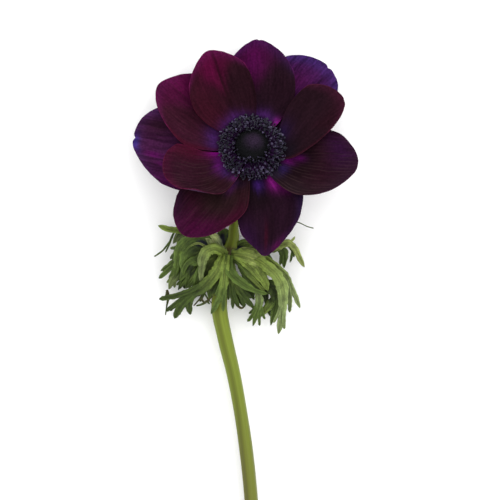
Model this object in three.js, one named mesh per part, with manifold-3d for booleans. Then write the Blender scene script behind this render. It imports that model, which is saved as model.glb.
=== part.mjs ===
// A cut anemone flower lying on its back on a flat surface, bloom face up.
//
// Millimetres, +Z up. The flower is set out from the middle of the bloom: +Y runs from the
// cut end of the stem towards the bloom, +X is the bloom's right, and z = 0 is the surface.
// The whole flower is then moved so that the origin is the middle of its box, at the bottom.

import * as THREE from "three";
import { mergeVertices } from "three/addons/utils/BufferGeometryUtils.js";
import Module from "manifold-3d";

const wasm = await Module();
wasm.setup();

const DEGREE = Math.PI / 180;
const GAP = 0.3; // what touching pieces keep between them

// The bloom: a shallow bowl that leans a little towards +Y, on the bent top of the stem.
const BLOOM_TILT = 16 * DEGREE;
const BLOOM_BASE_Z = 16.5; // where the petals start
const RECEPTACLE_R = 4.2;
const RECEPTACLE_TOP = 3.6; // above the bloom's base, along its axis
const RECEPTACLE_FOOT = -5.5;

// The pistil is a dome of carpels on a short neck, with three rings of stamens round the neck.
const PISTIL_NECK_R = 4.3;
const PISTIL_FLARE = 7.7; // where the dome is widest
const PISTIL_R = 6.4;
const PISTIL_TOP = 12.8;

// The stem's centreline, from the cut end to the foot of the receptacle, and its radius there.
const STEM_LINE = [
  // x, y, z, radius
  [2.0, -209.0, 2.5, 2.4],
  [2.2, -190.0, 3.2, 2.4],
  [1.4, -160.0, 4.3, 2.4],
  [-0.1, -133.4, 5.3, 2.45],
  [-1.9, -115.9, 6.0, 2.5],
  [-4.0, -101.4, 6.6, 2.5],
  [-6.7, -86.8, 7.2, 2.6],
  [-10.1, -72.6, 7.8, 2.8],
  [-12.3, -60.8, 8.3, 3.0],
  [-11.5, -50.0, 8.8, 3.0],
  [-8.8, -39.5, 8.9, 2.8],
  [-6.9, -28.5, 7.8, 2.3],
  [-5.0, -20.5, 6.0, 2.2],
  [-3.1, -13.6, 4.7, 2.1],
  [-1.5, -8.4, 4.4, 2.0],
  [-0.5, -4.9, 5.8, 2.0],
  [-0.1, -2.9, 8.4, 2.0],
];
const STEM_SIDES = 12;
const STEM_STEPS = 66;

const PETAL_THICKNESS = 0.7;
const PETAL_STEPS = 9; // along a petal
const PETAL_STRIPS = 8; // across it
const CLAW_HALF_WIDTH = 2.2; // a petal's half width where it joins the receptacle
const SHOULDER = 0.3; // the share of a petal's outline that is its side; the rest is its rim

// Three whorls of petals, one inside the next, each rising more steeply than the one behind.
// start: height of its foot above the bloom's base; rise: how far the rim stands above the foot;
// bowl: 1 is a cone, more is a bowl that is flat in the middle.
const WHORLS = {
  outer: { start: 0.0, rise: 2.0, bowl: 1.2 },
  middle: { start: 1.2, rise: 5.5, bowl: 1.3 },
  inner: { start: 2.4, rise: 9.6, bowl: 1.4 },
};

// Each petal: its direction round the bloom and that of its foot in degrees, its length from the
// bloom's axis, how far its tip lies to the left of its direction, and its width to the right and
// to the left of its direction at these shares of its length. curl: how far the rim bends back.
// lift: how far the right and left edges stand up.
const WIDTH_AT = [0.25, 0.5, 0.75, 0.92];
const PETALS = {
  petal_inner_1: {
    whorl: "inner", turn: 114, foot: 114, length: 39.0, tip: 1.2,
    right: [6.0, 9.8, 9.7, 4.8], left: [9.0, 14.6, 13.2, 7.4], curl: 0, lift: [1.2, 1.0],
  },
  petal_inner_2: {
    whorl: "inner", turn: 26, foot: 8, length: 38.4, tip: -1.0,
    right: [10.8, 11.2, 9.0, 5.6], left: [0.4, 7.6, 10.8, 7.4], curl: 0, lift: [1.0, 1.4],
  },
  petal_inner_3: {
    whorl: "inner", turn: 200, foot: 215, length: 36.0, tip: 3.0,
    right: [0.6, 3.2, 8.1, 4.9], left: [10.0, 15.6, 11.8, 8.4], curl: -1.5, lift: [0.6, 3.0],
  },
  petal_middle_1: {
    whorl: "middle", turn: 84, foot: 82, length: 41.8, tip: 1.6,
    right: [9.0, 14.0, 12.0, 5.4], left: [5.6, 11.8, 11.8, 6.2], curl: 0, lift: [0.8, 0.6],
  },
  petal_middle_2: {
    whorl: "middle", turn: -12, foot: -18, length: 41.0, tip: -0.6,
    right: [11.0, 16.0, 12.9, 7.0], left: [6.0, 11.0, 10.6, 5.6], curl: 0, lift: [2.6, 0.4],
  },
  petal_middle_3: {
    whorl: "middle", turn: 233, foot: 233, length: 44.4, tip: 0.8,
    right: [7.0, 12.0, 10.6, 6.4], left: [7.4, 13.8, 11.6, 7.0], curl: 1.0, lift: [0.4, 1.6],
  },
  petal_middle_4: {
    whorl: "middle", turn: 147, foot: 150, length: 42.0, tip: 0.6,
    right: [4.6, 11.0, 12.0, 6.3], left: [9.0, 13.7, 10.7, 5.6], curl: 0.5, lift: [0.6, 0.6],
  },
  petal_outer_1: {
    whorl: "outer", turn: 50, foot: 50, length: 45.8, tip: 1.4,
    right: [8.0, 13.0, 13.0, 7.6], left: [8.0, 14.0, 16.0, 11.2], curl: 8.1, lift: [0, 0],
  },
  petal_outer_2: {
    whorl: "outer", turn: -74, foot: -74, length: 42.6, tip: -7.2,
    right: [8.0, 12.2, 13.2, 9.8], left: [8.0, 13.0, 9.2, 0.8], curl: 0.6, lift: [0.8, 0.6],
  },
  petal_outer_3: {
    whorl: "outer", turn: 180, foot: 180, length: 45.4, tip: -2.8,
    right: [9.0, 15.4, 16.6, 11.2], left: [10.6, 17.2, 13.2, 5.4], curl: 3.0, lift: [0.4, 0.4],
  },
};

// Three rings of stamens: how many, and the radius and height of the ring that carries them
// and of the anthers, from the bloom's base.
const STAMEN_RINGS = {
  stamens_outer: { count: 26, foot: [5.5, 4.1], anther: [12.8, 6.9] },
  stamens_middle: { count: 22, foot: [5.5, 5.05], anther: [10.8, 7.9] },
  stamens_inner: { count: 18, foot: [5.5, 6.0], anther: [8.8, 8.5] },
};
const STAMEN_RING_R = [4.6, 5.7]; // the ring at the foot of the filaments
const HEART_LEAN = 0.33; // how far the pistil and stamens lean to the stem, for each mm up
const STAMEN_RING_HALF_HEIGHT = 0.3;
const FILAMENT_R = 0.22;
const ANTHER_HALF = [0.55, 0.95]; // across, along

// The collar of three leafy bracts below the bloom, each a sheath round the stem that splits
// into lobes.
const NODE = new THREE.Vector3(-9.3, -41.5, 8.9);
const NODE_AXIS = new THREE.Vector3(0.22, 0.975, 0.0).normalize(); // the stem's direction there
const SHEATH_R = [3.25, 4.1];
const SHEATH_HALF_HEIGHT = 2.2;
const LOBE_THICKNESS = 0.5;
const LOBE_STEPS = 9;
const LAYER_STEP = 0.9; // the lobes leave their sheath in layers, this far apart
const TABLE_CLEARANCE = 0.05; // how close to the surface a lobe may come

// Each bract's sheath covers this much of the stem, in degrees (0 right, 90 up, 180 left). Each
// lobe: the side of the stem that it leaves, its half width, the places that its middle passes,
// and its side tips as [how far along it, 1 left or -1 right, length].
const BRACTS = {
  bract_left: {
    sheath: [92, 192],
    lobes: [
      {
        from: 170, half: 1.8,
        path: [[-16.5, -35, 12], [-23.5, -36, 14], [-27.5, -40.5, 13.5], [-28.5, -45.5, 11],
               [-31, -50, 8.5], [-33, -56, 6]],
        tips: [[0.62, 1, 7], [0.72, 1, 8], [0.82, -1, 4]],
      },
      {
        from: 150, half: 2,
        path: [[-16, -37, 15], [-20.5, -38, 17], [-23.5, -41.5, 15.5], [-26.5, -45, 13],
               [-30.5, -48.5, 10.5], [-35, -49.5, 8]],
        tips: [[0.6, -1, 6], [0.75, 1, 4]],
      },
      {
        from: 132, half: 1.5,
        path: [[-13.5, -37, 16.5], [-16.5, -39.5, 18.5], [-18.5, -44, 17.5], [-20, -49, 14.5],
               [-23.5, -53, 12], [-28, -55.5, 9.5]],
        tips: [[0.7, 1, 5]],
      },
      {
        from: 120, half: 1.7,
        path: [[-12, -42, 16], [-14.5, -47, 17.5], [-17.5, -51.5, 16], [-22.5, -54.5, 14],
               [-27.5, -58, 11], [-32, -61.5, 8]],
        tips: [[0.62, -1, 9], [0.74, 1, 8], [0.8, 1, 5], [0.7, -1, 5]],
      },
      {
        from: 112, half: 1.6,
        path: [[-10.4, -43.5, 15.5], [-11.2, -49, 17.5], [-12, -54, 16.8], [-13, -58.5, 15],
               [-15.5, -63, 13]],
        tips: [[0.78, 1, 4]],
      },
    ],
  },
  bract_right: {
    sheath: [-28, 72],
    lobes: [
      {
        from: 56, half: 1.3,
        path: [[-6.2, -44.2, 15.6], [-4, -48.5, 17.5], [0.5, -50.5, 17], [4.5, -53, 15.5],
               [6, -55.5, 13.5]],
        tips: [],
      },
      {
        from: 48, half: 1.8,
        path: [[-7, -43.5, 15], [-3.5, -48, 15.5], [-1, -54, 14.5], [0.5, -60, 12],
               [0.5, -67.5, 8]],
        tips: [[0.6, -1, 6], [0.66, 1, 7], [0.8, 1, 4]],
      },
      {
        from: 36, half: 1.9,
        path: [[-3.5, -41, 16], [2.5, -43.5, 17.5], [8, -48.5, 16.5], [11.5, -53.5, 14.5],
               [12, -60, 12], [10.5, -69, 8.5]],
        tips: [[0.7, -1, 5], [0.88, 1, 2.5]],
      },
      {
        from: 16, half: 1.7,
        path: [[-2.5, -39, 13.5], [2.5, -41, 14.5], [7.5, -44, 13.5], [12.5, -48, 12],
               [15.5, -53, 9.5], [18, -60, 7]],
        tips: [[0.6, -1, 8], [0.75, -1, 5]],
      },
      {
        from: -4, half: 1.5,
        path: [[-1, -41, 10], [4.5, -45, 10], [9, -51, 9], [12, -56, 7.5], [14.5, -62.5, 5.5]],
        tips: [[0.5, -1, 7], [0.7, 1, 5]],
      },
    ],
  },
  bract_back: {
    sheath: [212, 312],
    lobes: [
      {
        from: 228, half: 1.3,
        path: [[-11.5, -35, 5.2], [-14.5, -32.5, 4.2], [-20, -33, 5], [-26.5, -34, 6.5],
               [-32, -31.5, 8], [-35.5, -29, 9.5]],
        tips: [[0.62, -1, 6], [0.72, -1, 7]],
      },
      {
        from: 236, half: 1.9,
        path: [[-15, -39.5, 3.6], [-21.5, -43.5, 2.5], [-26.5, -49.5, 2], [-30.5, -55.5, 1.0],
               [-34.5, -57.5, 0.2]],
        tips: [[0.55, 1, 7], [0.7, -1, 6]],
      },
      {
        from: 248, half: 1.9,
        path: [[-11.5, -43.5, 3], [-16.5, -48.5, 1.6], [-21.5, -54.5, 1.0], [-24.5, -63, 0.2]],
        tips: [[0.6, -1, 7], [0.7, 1, 6]],
      },
      {
        from: 270, half: 1.9,
        path: [[-7, -43.5, 3], [-5.5, -49.5, 1.6], [-5.5, -55.5, 1.0], [-7, -61.5, 0.2]],
        tips: [[0.6, 1, 6], [0.74, -1, 5]],
      },
      {
        from: 290, half: 1.9,
        path: [[-3, -42.5, 3.4], [2, -47, 2], [6, -54, 1.2], [7, -66, 0.2]],
        tips: [[0.55, 1, 8], [0.72, -1, 7]],
      },
      {
        from: 306, half: 1.6,
        path: [[-1, -39.5, 4.2], [5.5, -42, 3.2], [10.5, -46.5, 2.6], [14.5, -53, 2.4]],
        tips: [[0.6, -1, 7], [0.72, 1, 5]],
      },
      {
        from: 312, half: 1.4,
        path: [[-4.5, -36.5, 5.8], [1.5, -34, 6], [8.5, -35, 7.5], [15, -36, 8.5],
               [18.5, -40.5, 7.5], [20, -45, 5.5]],
        tips: [[0.55, -1, 8], [0.7, -1, 5]],
      },
      {
        from: 304, half: 0.35,
        path: [[-2.5, -35, 4.6], [6, -31.5, 5.2], [13.5, -29, 6.8], [18, -27.5, 7.6],
               [20.5, -28.5, 8.2], [23, -30.5, 8.6]],
        tips: [],
      },
    ],
  },
};

const COLOURS = {
  stem: { color: 0x7f8d3a, roughness: 0.5 },
  bract: { color: 0x5f7534, roughness: 0.55 },
  inner: { color: 0x3a1024, roughness: 0.6 },
  middle: { color: 0x42102f, roughness: 0.6 },
  outer: { color: 0x3d1a48, roughness: 0.6 },
  stamens: { color: 0x201a2b, roughness: 0.6 },
  pistil: { color: 0x17151d, roughness: 0.7 },
};

const vector = (x, y, z) => new THREE.Vector3(x, y, z);

// ---------------------------------------------------------------- closed surfaces from rings

// A closed surface through rings of points: quads between neighbouring rings, a fan on the
// first and last one. The rings run anticlockwise seen against the direction of travel.
function skin(rings) {
  const sides = rings[0].length;
  const places = [];
  const faces = [];
  for (const ring of rings) for (const p of ring) places.push(p.x, p.y, p.z);
  for (let i = 0; i + 1 < rings.length; i++)
    for (let j = 0; j < sides; j++) {
      const a = i * sides + j;
      const b = i * sides + ((j + 1) % sides);
      faces.push(a, b, b + sides, a, b + sides, a + sides);
    }
  const last = (rings.length - 1) * sides;
  for (let j = 1; j + 1 < sides; j++) {
    faces.push(0, j + 1, j);
    faces.push(last, last + j, last + j + 1);
  }
  const made = new THREE.BufferGeometry();
  made.setAttribute("position", new THREE.Float32BufferAttribute(places, 3));
  made.setIndex(faces);
  return made;
}

function solid(geometry) {
  const bare = geometry.clone();
  bare.deleteAttribute("normal");
  bare.deleteAttribute("uv");
  const merged = mergeVertices(bare, 1e-3);
  return new wasm.Manifold(
    new wasm.Mesh({
      numProp: 3,
      vertProperties: merged.attributes.position.array,
      triVerts: new Uint32Array(merged.index.array),
    }),
  );
}

function geometryOf(made) {
  const mesh = made.getMesh();
  const places = new Float32Array(mesh.numVert * 3);
  for (let i = 0; i < mesh.numVert; i++)
    places.set(mesh.vertProperties.subarray(i * mesh.numProp, i * mesh.numProp + 3), i * 3);
  const geometry = new THREE.BufferGeometry();
  geometry.setAttribute("position", new THREE.BufferAttribute(places, 3));
  geometry.setIndex(new THREE.BufferAttribute(mesh.triVerts, 1));
  return geometry;
}

// The outer skin of a joined solid, without the slivers shut in where its pieces cross.
function largest(made) {
  return made.decompose().reduce((best, one) => (one.volume() > best.volume() ? one : best));
}

// ---------------------------------------------------------------- the bloom's own frame

// A point of the bloom: right and up in its face, and height along its axis.
function inBloom(right, up, height) {
  return vector(
    right,
    up * Math.cos(BLOOM_TILT) + height * Math.sin(BLOOM_TILT),
    BLOOM_BASE_Z - up * Math.sin(BLOOM_TILT) + height * Math.cos(BLOOM_TILT),
  );
}

// ---------------------------------------------------------------- stem

// The stem runs from its cut end up to the collar and bends into the swollen receptacle.
function stemGeometry() {
  const foot = inBloom(0, 0, RECEPTACLE_FOOT);
  const line = [...STEM_LINE.map(([x, y, z]) => vector(x, y, z)), foot];
  const radii = [...STEM_LINE.map((row) => row[3]), 2.1];
  const curve = new THREE.CatmullRomCurve3(line, false, "centripetal");
  const rings = [];
  let side = vector(1, 0, 0);
  for (let i = 0; i <= STEM_STEPS; i++) {
    const t = i / STEM_STEPS;
    const along = curve.getTangent(t);
    side = side.sub(along.clone().multiplyScalar(side.dot(along))).normalize();
    const up = side.clone().cross(along);
    const place = t * (line.length - 1);
    const k = Math.min(Math.floor(place), line.length - 2);
    const radius = THREE.MathUtils.lerp(radii[k], radii[k + 1], place - k);
    rings.push(ringAt(curve.getPoint(t), side, up, radius));
  }
  // The receptacle: a cone that opens from the stem, then the short column the pistil sits on.
  const profile = [
    [3.0, -3.4],
    [RECEPTACLE_R, -1.2],
    [RECEPTACLE_R, RECEPTACLE_TOP],
  ];
  for (const [radius, height] of profile)
    rings.push(ringAt(inBloom(0, 0, height), vector(1, 0, 0), inBloomUp(), radius));
  return skin(rings);
}

const inBloomUp = () => vector(0, Math.cos(BLOOM_TILT), -Math.sin(BLOOM_TILT));

function ringAt(centre, side, up, radius) {
  const ring = [];
  for (let j = 0; j < STEM_SIDES; j++) {
    const turn = (j / STEM_SIDES) * 2 * Math.PI;
    ring.push(
      centre
        .clone()
        .addScaledVector(side, radius * Math.cos(turn))
        .addScaledVector(up, -radius * Math.sin(turn)),
    );
  }
  return ring;
}

// ---------------------------------------------------------------- petals

// A petal's outline in its own plane: x along it and y to its left, from the right corner of its
// foot, round its tip, to the left corner.
function petalOutline({ turn, foot, length, tip, right, left }) {
  const radius = RECEPTACLE_R + GAP;
  const aim = (foot - turn) * DEGREE;
  const spread = CLAW_HALF_WIDTH / radius;
  const at = (angle) => vector(radius * Math.cos(angle), radius * Math.sin(angle), 0);
  const side = (widths, sign) => widths.map((w, i) => vector(WIDTH_AT[i] * length, sign * w, 0));
  return new THREE.CatmullRomCurve3(
    [
      at(aim - spread),
      ...side(right, -1),
      vector(length, tip, 0),
      ...side(left, 1).reverse(),
      at(aim + spread),
    ],
    false,
    "centripetal",
  );
}

// The middle surface of a petal. s runs from its foot (0) to its rim (1), and t from its right
// edge (0) to its left edge (1); lines of equal t are its veins.
function petalPoint(petal, outline, s, t) {
  const radius = RECEPTACLE_R + GAP;
  const spread = CLAW_HALF_WIDTH / radius;
  const footAt = (u) => {
    const angle = (petal.foot - petal.turn) * DEGREE + spread * (2 * u - 1);
    return vector(radius * Math.cos(angle), radius * Math.sin(angle), 0);
  };
  const rimAt = (u) => outline.getPoint(SHOULDER + (1 - 2 * SHOULDER) * u);
  const straight = (u) => footAt(u).lerp(rimAt(u), s);
  const rightOff = outline.getPoint(SHOULDER * s).sub(straight(0));
  const leftOff = outline.getPoint(1 - SHOULDER * s).sub(straight(1));
  const p = straight(t).addScaledVector(rightOff, 1 - t).addScaledVector(leftOff, t);
  const { start, rise, bowl } = WHORLS[petal.whorl];
  const out = Math.max(Math.hypot(p.x, p.y) - radius, 0) / (petal.length - radius);
  const side = 2 * t - 1;
  const edge = petal.lift[t > 0.5 ? 1 : 0] * side * side * s;
  const groove = 0.35 * Math.exp(-((side / 0.25) ** 2)) * Math.sin(Math.PI * s);
  const height = start + rise * out ** bowl - petal.curl * out ** 3 + edge - groove;
  const a = petal.turn * DEGREE;
  return inBloom(
    p.x * Math.cos(a) - p.y * Math.sin(a),
    p.x * Math.sin(a) + p.y * Math.cos(a),
    height,
  );
}

function petalGeometry(petal) {
  const outline = petalOutline(petal);
  const rings = [];
  const up = inBloom(0, 0, 1).sub(inBloom(0, 0, 0)).multiplyScalar(PETAL_THICKNESS / 2);
  for (let i = 0; i <= PETAL_STEPS; i++) {
    const s = i / PETAL_STEPS;
    const top = [];
    const bottom = [];
    for (let j = 0; j <= PETAL_STRIPS; j++) {
      const p = petalPoint(petal, outline, s, j / PETAL_STRIPS);
      top.push(p.clone().add(up));
      bottom.push(p.clone().sub(up));
    }
    rings.push([...bottom, ...top.reverse()]);
  }
  return stripSkin(rings, PETAL_STRIPS);
}

// As skin, but the end faces are strips of quads, because a petal's rim is curved.
function stripSkin(rings, strips) {
  const made = skin(rings);
  const sides = rings[0].length;
  const faces = Array.from(made.index.array).slice(0, (rings.length - 1) * sides * 6);
  const last = (rings.length - 1) * sides;
  for (let j = 0; j < strips; j++) {
    const low = [j, j + 1];
    const high = [sides - 1 - j, sides - 2 - j];
    faces.push(low[0], high[1], low[1], low[0], high[0], high[1]);
    faces.push(last + low[0], last + low[1], last + high[1]);
    faces.push(last + low[0], last + high[1], last + high[0]);
  }
  made.setIndex(faces);
  return made;
}

// ---------------------------------------------------------------- pistil and stamens

function pistilGeometry() {
  const points = [new THREE.Vector2(0, RECEPTACLE_TOP + GAP)];
  points.push(new THREE.Vector2(PISTIL_NECK_R, RECEPTACLE_TOP + GAP));
  points.push(new THREE.Vector2(PISTIL_NECK_R, PISTIL_FLARE - 1));
  const steps = 6;
  for (let i = 0; i <= steps; i++) {
    const a = (i / steps) * (Math.PI / 2);
    const r = i === steps ? 0 : PISTIL_R * Math.cos(a);
    points.push(new THREE.Vector2(r, PISTIL_FLARE + (PISTIL_TOP - PISTIL_FLARE) * Math.sin(a)));
  }
  return standInBloom(new THREE.LatheGeometry(points, 20));
}

// A lathe shape turns about its own y: this stands it on the bloom's axis, leaning to the stem.
function standInBloom(lathe) {
  lathe.rotateX(Math.PI / 2);
  const spots = lathe.attributes.position;
  for (let i = 0; i < spots.count; i++) spots.setY(i, spots.getY(i) - lean(spots.getZ(i)));
  lathe.applyMatrix4(
    new THREE.Matrix4().makeBasis(
      vector(1, 0, 0),
      inBloomUp(),
      vector(0, Math.sin(BLOOM_TILT), Math.cos(BLOOM_TILT)),
    ),
  );
  return lathe.translate(0, 0, BLOOM_BASE_Z);
}

const lean = (height) => HEART_LEAN * Math.max(height - RECEPTACLE_TOP, 0);

// One ring of stamens: a flat ring round the pistil's neck, and a filament and anther for each.
function stamenGeometry({ count, foot, anther }) {
  const [inner, outer] = STAMEN_RING_R;
  const low = foot[1] - STAMEN_RING_HALF_HEIGHT;
  const high = foot[1] + STAMEN_RING_HALF_HEIGHT;
  const outline = [[inner, low], [outer, low], [outer, high], [inner, high], [inner, low]];
  const points = outline.map(([r, h]) => new THREE.Vector2(r, h));
  let ring = solid(standInBloom(new THREE.LatheGeometry(points, 24)));
  for (let i = 0; i < count; i++) {
    const a = ((i + 0.5) / count) * 2 * Math.PI;
    const sway = 1 + 0.05 * Math.sin(5 * a + count) - 0.05 * Math.sin(a);
    const at = (r, h) => inBloom(r * Math.cos(a), r * Math.sin(a) - lean(h), h);
    const from = at(foot[0] - 0.4, foot[1]);
    const to = at(anther[0] * sway, anther[1]);
    const along = to.clone().sub(from).normalize();
    const side = vector(-Math.sin(a), Math.cos(a), 0);
    side.addScaledVector(along, -side.dot(along)).normalize();
    const up = side.clone().cross(along);
    const [across, half] = ANTHER_HALF;
    const sections = [
      [from, FILAMENT_R],
      [to.clone().addScaledVector(along, -half), FILAMENT_R],
      [to, across],
      [to.clone().addScaledVector(along, half), FILAMENT_R],
    ];
    const rings = sections.map(([centre, r]) =>
      [0, 1, 2, 3].map((k) =>
        centre
          .clone()
          .addScaledVector(side, r * Math.cos((k * Math.PI) / 2))
          .addScaledVector(up, -r * Math.sin((k * Math.PI) / 2)),
      ),
    );
    ring = ring.add(solid(skin(rings)));
  }
  return geometryOf(ring);
}

// ---------------------------------------------------------------- bracts

const roundStem = (turn) => {
  const right = vector(1, 0, 0);
  right.addScaledVector(NODE_AXIS, -right.dot(NODE_AXIS)).normalize();
  const up = right.clone().cross(NODE_AXIS);
  const a = turn * DEGREE;
  return right.multiplyScalar(Math.cos(a)).addScaledVector(up, Math.sin(a));
};

// A place beside the node: on this side of the stem, so far out, and so far towards the bloom.
function besideNode(turn, out, up) {
  const p = NODE.clone().addScaledVector(roundStem(turn), out).addScaledVector(NODE_AXIS, up);
  return p;
}

// A flat tapering ribbon along a curve. Its width starts along rim, which is level if none is
// given, and turns level.
function ribbon(curve, width, steps, rim) {
  const rings = [];
  for (let i = 0; i <= steps; i++) {
    const s = i / steps;
    const along = curve.getTangent(s);
    const side = along.clone().cross(vector(0, 0, 1)).normalize();
    if (rim) side.lerp(rim.clone().multiplyScalar(Math.sign(rim.dot(side))), Math.max(1 - 3 * s, 0));
    side.addScaledVector(along, -side.dot(along)).normalize();
    const face = side.clone().cross(along).multiplyScalar(LOBE_THICKNESS / 2);
    const half = width(s);
    const p = curve.getPoint(s);
    const left = p.clone().addScaledVector(side, -half);
    const right = p.clone().addScaledVector(side, half);
    const ring = [
      left.clone().add(face),
      right.clone().add(face),
      right.clone().sub(face),
      left.clone().sub(face),
    ];
    // What would dip into the surface lies on it instead.
    const dip = TABLE_CLEARANCE - Math.min(...ring.map((q) => q.z));
    if (dip > 0) for (const q of ring) q.z += dip;
    rings.push(ring);
  }
  return solid(skin(rings));
}

function lobeSolid({ from, half, path, tips }, layer) {
  const start = besideNode(from, (SHEATH_R[0] + SHEATH_R[1]) / 2, layer);
  const places = [start, ...path.map(([x, y, z]) => vector(x, y, z))];
  const spine = new THREE.CatmullRomCurve3(places, false, "centripetal");
  const width = (s) => half * (0.75 + 0.3 * Math.sin(Math.PI * s) - 0.45 * s ** 4);
  const rim = NODE_AXIS.clone().cross(roundStem(from));
  let made = ribbon(spine, width, LOBE_STEPS, rim);
  for (const [place, side, length] of tips) {
    const root = spine.getPointAt(place);
    const along = spine.getTangentAt(place);
    const out = vector(0, 0, 1).cross(along).normalize().multiplyScalar(side);
    const reach = (forward, sideways) =>
      root
        .clone()
        .addScaledVector(along, forward * length)
        .addScaledVector(out, sideways * length);
    const curve = new THREE.QuadraticBezierCurve3(root, reach(0.4, 0.45), reach(0.95, 0.55));
    made = made.add(ribbon(curve, (s) => half * (0.6 - 0.35 * s * s), 3));
  }
  return made;
}

function bractGeometry({ sheath, lobes }) {
  const [from, to] = sheath;
  const steps = 10;
  const rings = [];
  for (let i = 0; i <= steps; i++) {
    const turn = THREE.MathUtils.lerp(from, to, i / steps);
    const [inner, outer] = SHEATH_R;
    rings.push([
      besideNode(turn, outer, -SHEATH_HALF_HEIGHT),
      besideNode(turn, outer, SHEATH_HALF_HEIGHT),
      besideNode(turn, inner, SHEATH_HALF_HEIGHT),
      besideNode(turn, inner, -SHEATH_HALF_HEIGHT),
    ]);
  }
  let made = solid(skin(rings));
  lobes.forEach((lobe, i) => {
    made = made.add(lobeSolid(lobe, ((i % 4) - 1.5) * LAYER_STEP));
  });
  return geometryOf(largest(solid(geometryOf(made.simplify(0.03)))));
}

// ---------------------------------------------------------------- the flower

const flower = new THREE.Group();

function add(name, geometry, looks) {
  const mesh = new THREE.Mesh(geometry, new THREE.MeshStandardMaterial({ ...looks, metalness: 0 }));
  mesh.name = name;
  flower.add(mesh);
}

add("stem", stemGeometry(), COLOURS.stem);
add("pistil", pistilGeometry(), COLOURS.pistil);
for (const [name, ring] of Object.entries(STAMEN_RINGS))
  add(name, stamenGeometry(ring), COLOURS.stamens);
for (const [name, petal] of Object.entries(PETALS))
  add(name, petalGeometry(petal), COLOURS[petal.whorl]);
for (const [name, bract] of Object.entries(BRACTS)) add(name, bractGeometry(bract), COLOURS.bract);

const box = new THREE.Box3().setFromObject(flower);
const middle = box.getCenter(vector(0, 0, 0));
flower.position.set(-middle.x, -middle.y, -box.min.z);

export default flower;
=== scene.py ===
"""A cut anemone lying on its back, bloom face up: its looks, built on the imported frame.

The flower is set out in millimetres from the middle of the bloom, as its solids are: +Y runs from the
cut end of the stem to the bloom, +X is the bloom's right and +Z comes out of its face.
"""

import math
import random

import bmesh
import bpy
from mathutils import Matrix, Vector, noise
from mathutils.bvhtree import BVHTree


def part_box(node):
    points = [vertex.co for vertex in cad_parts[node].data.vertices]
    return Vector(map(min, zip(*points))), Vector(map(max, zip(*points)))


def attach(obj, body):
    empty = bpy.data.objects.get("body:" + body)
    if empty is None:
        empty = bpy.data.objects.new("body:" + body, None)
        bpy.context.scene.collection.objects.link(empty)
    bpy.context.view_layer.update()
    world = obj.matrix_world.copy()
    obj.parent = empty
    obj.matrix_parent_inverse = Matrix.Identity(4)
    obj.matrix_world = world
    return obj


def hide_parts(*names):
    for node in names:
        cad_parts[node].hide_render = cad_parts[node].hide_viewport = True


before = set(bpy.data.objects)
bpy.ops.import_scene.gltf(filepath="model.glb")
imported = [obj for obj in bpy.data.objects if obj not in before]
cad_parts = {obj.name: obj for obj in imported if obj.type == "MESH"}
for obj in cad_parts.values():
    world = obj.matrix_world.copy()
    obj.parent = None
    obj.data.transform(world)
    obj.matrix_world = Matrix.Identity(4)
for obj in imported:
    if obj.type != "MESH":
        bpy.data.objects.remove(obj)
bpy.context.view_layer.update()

MM = 0.001
CUT_END_Y = -209.09  # the cut end of the stem, from the middle of the bloom
LOWEST_Z = 0.05

# The frame's origin lies under the middle of the whole flower: this is the middle of the bloom.
_low, _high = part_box("pistil")
ORIGIN = Vector(((_low[0] + _high[0]) / 2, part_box("stem")[0][1] - CUT_END_Y * MM, -LOWEST_Z * MM))

random.seed(11)


def place(p):
    """A point of the flower, in the frame."""
    return ORIGIN + p * MM


# ------------------------------------------------------------------------------ shared tools


def tone(code):
    """An sRGB hex colour as linear RGBA."""
    parts = [int(code[i : i + 2], 16) / 255 for i in (1, 3, 5)]
    return tuple(c / 12.92 if c <= 0.04045 else ((c + 0.055) / 1.055) ** 2.4 for c in parts) + (1,)


def node(tree, kind, inputs, **settings):
    """Adds a node with its settings, its inputs set to values or linked from sockets, and returns
    its outputs."""
    made = tree.nodes.new("ShaderNode" + kind)
    for name, value in settings.items():
        setattr(made, name, value)
    for name, value in inputs.items():
        socket = made.inputs[name]
        if isinstance(value, bpy.types.NodeSocket):
            tree.links.new(value, socket)
        else:
            socket.default_value = value
    return made.outputs


def new_material(name):
    """A material with an empty tree."""
    material = bpy.data.materials.new(name)
    material.use_nodes = True
    material.node_tree.nodes.clear()
    return material, material.node_tree


def spline(points, t):
    """A smooth curve through points, with t from 0 to 1 (centripetal Catmull-Rom)."""
    last = len(points) - 1
    k = min(int(t * last), last - 1)
    w = t * last - k
    b, c = points[k], points[k + 1]
    a = points[k - 1] if k > 0 else b * 2 - c
    d = points[k + 2] if k + 2 <= last else c * 2 - b
    ab, bc, cd = ((q - p).length ** 0.5 for p, q in ((a, b), (b, c), (c, d)))
    start = ((b - a) / ab - (c - a) / (ab + bc) + (c - b) / bc) * bc
    end = ((c - b) / bc - (d - b) / (bc + cd) + (d - c) / cd) * bc
    return (
        b
        + start * w
        + (c * 3 - b * 3 - start * 2 - end) * w**2
        + (b * 2 - c * 2 + start + end) * w**3
    )


def smooth(low, high, x):
    """0 below low, 1 above high, and an easy curve between; low may be the larger."""
    t = min(max((x - low) / (high - low), 0), 1)
    return t * t * (3 - 2 * t)


def wander(x, y, z):
    """Smooth noise from -1 to 1."""
    return noise.noise(Vector((x, y, z)))


def finish_piece(name, bm, materials, nodes, thick=0.0):
    """Turns a bmesh into a piece that rides on the root and stands for CAD nodes."""
    mesh = bpy.data.meshes.new(name)
    bm.to_mesh(mesh)
    bm.free()
    for polygon in mesh.polygons:
        polygon.use_smooth = True
    piece = bpy.data.objects.new(name, mesh)
    bpy.context.scene.collection.objects.link(piece)
    for material in materials:
        mesh.materials.append(material)
    if thick:
        wall = piece.modifiers.new("thickness", "SOLIDIFY")
        wall.thickness = thick * MM
        wall.offset = -1
        wall.material_offset = len(materials) - 1
    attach(piece, "root")
    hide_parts(*nodes)
    return piece


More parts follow.
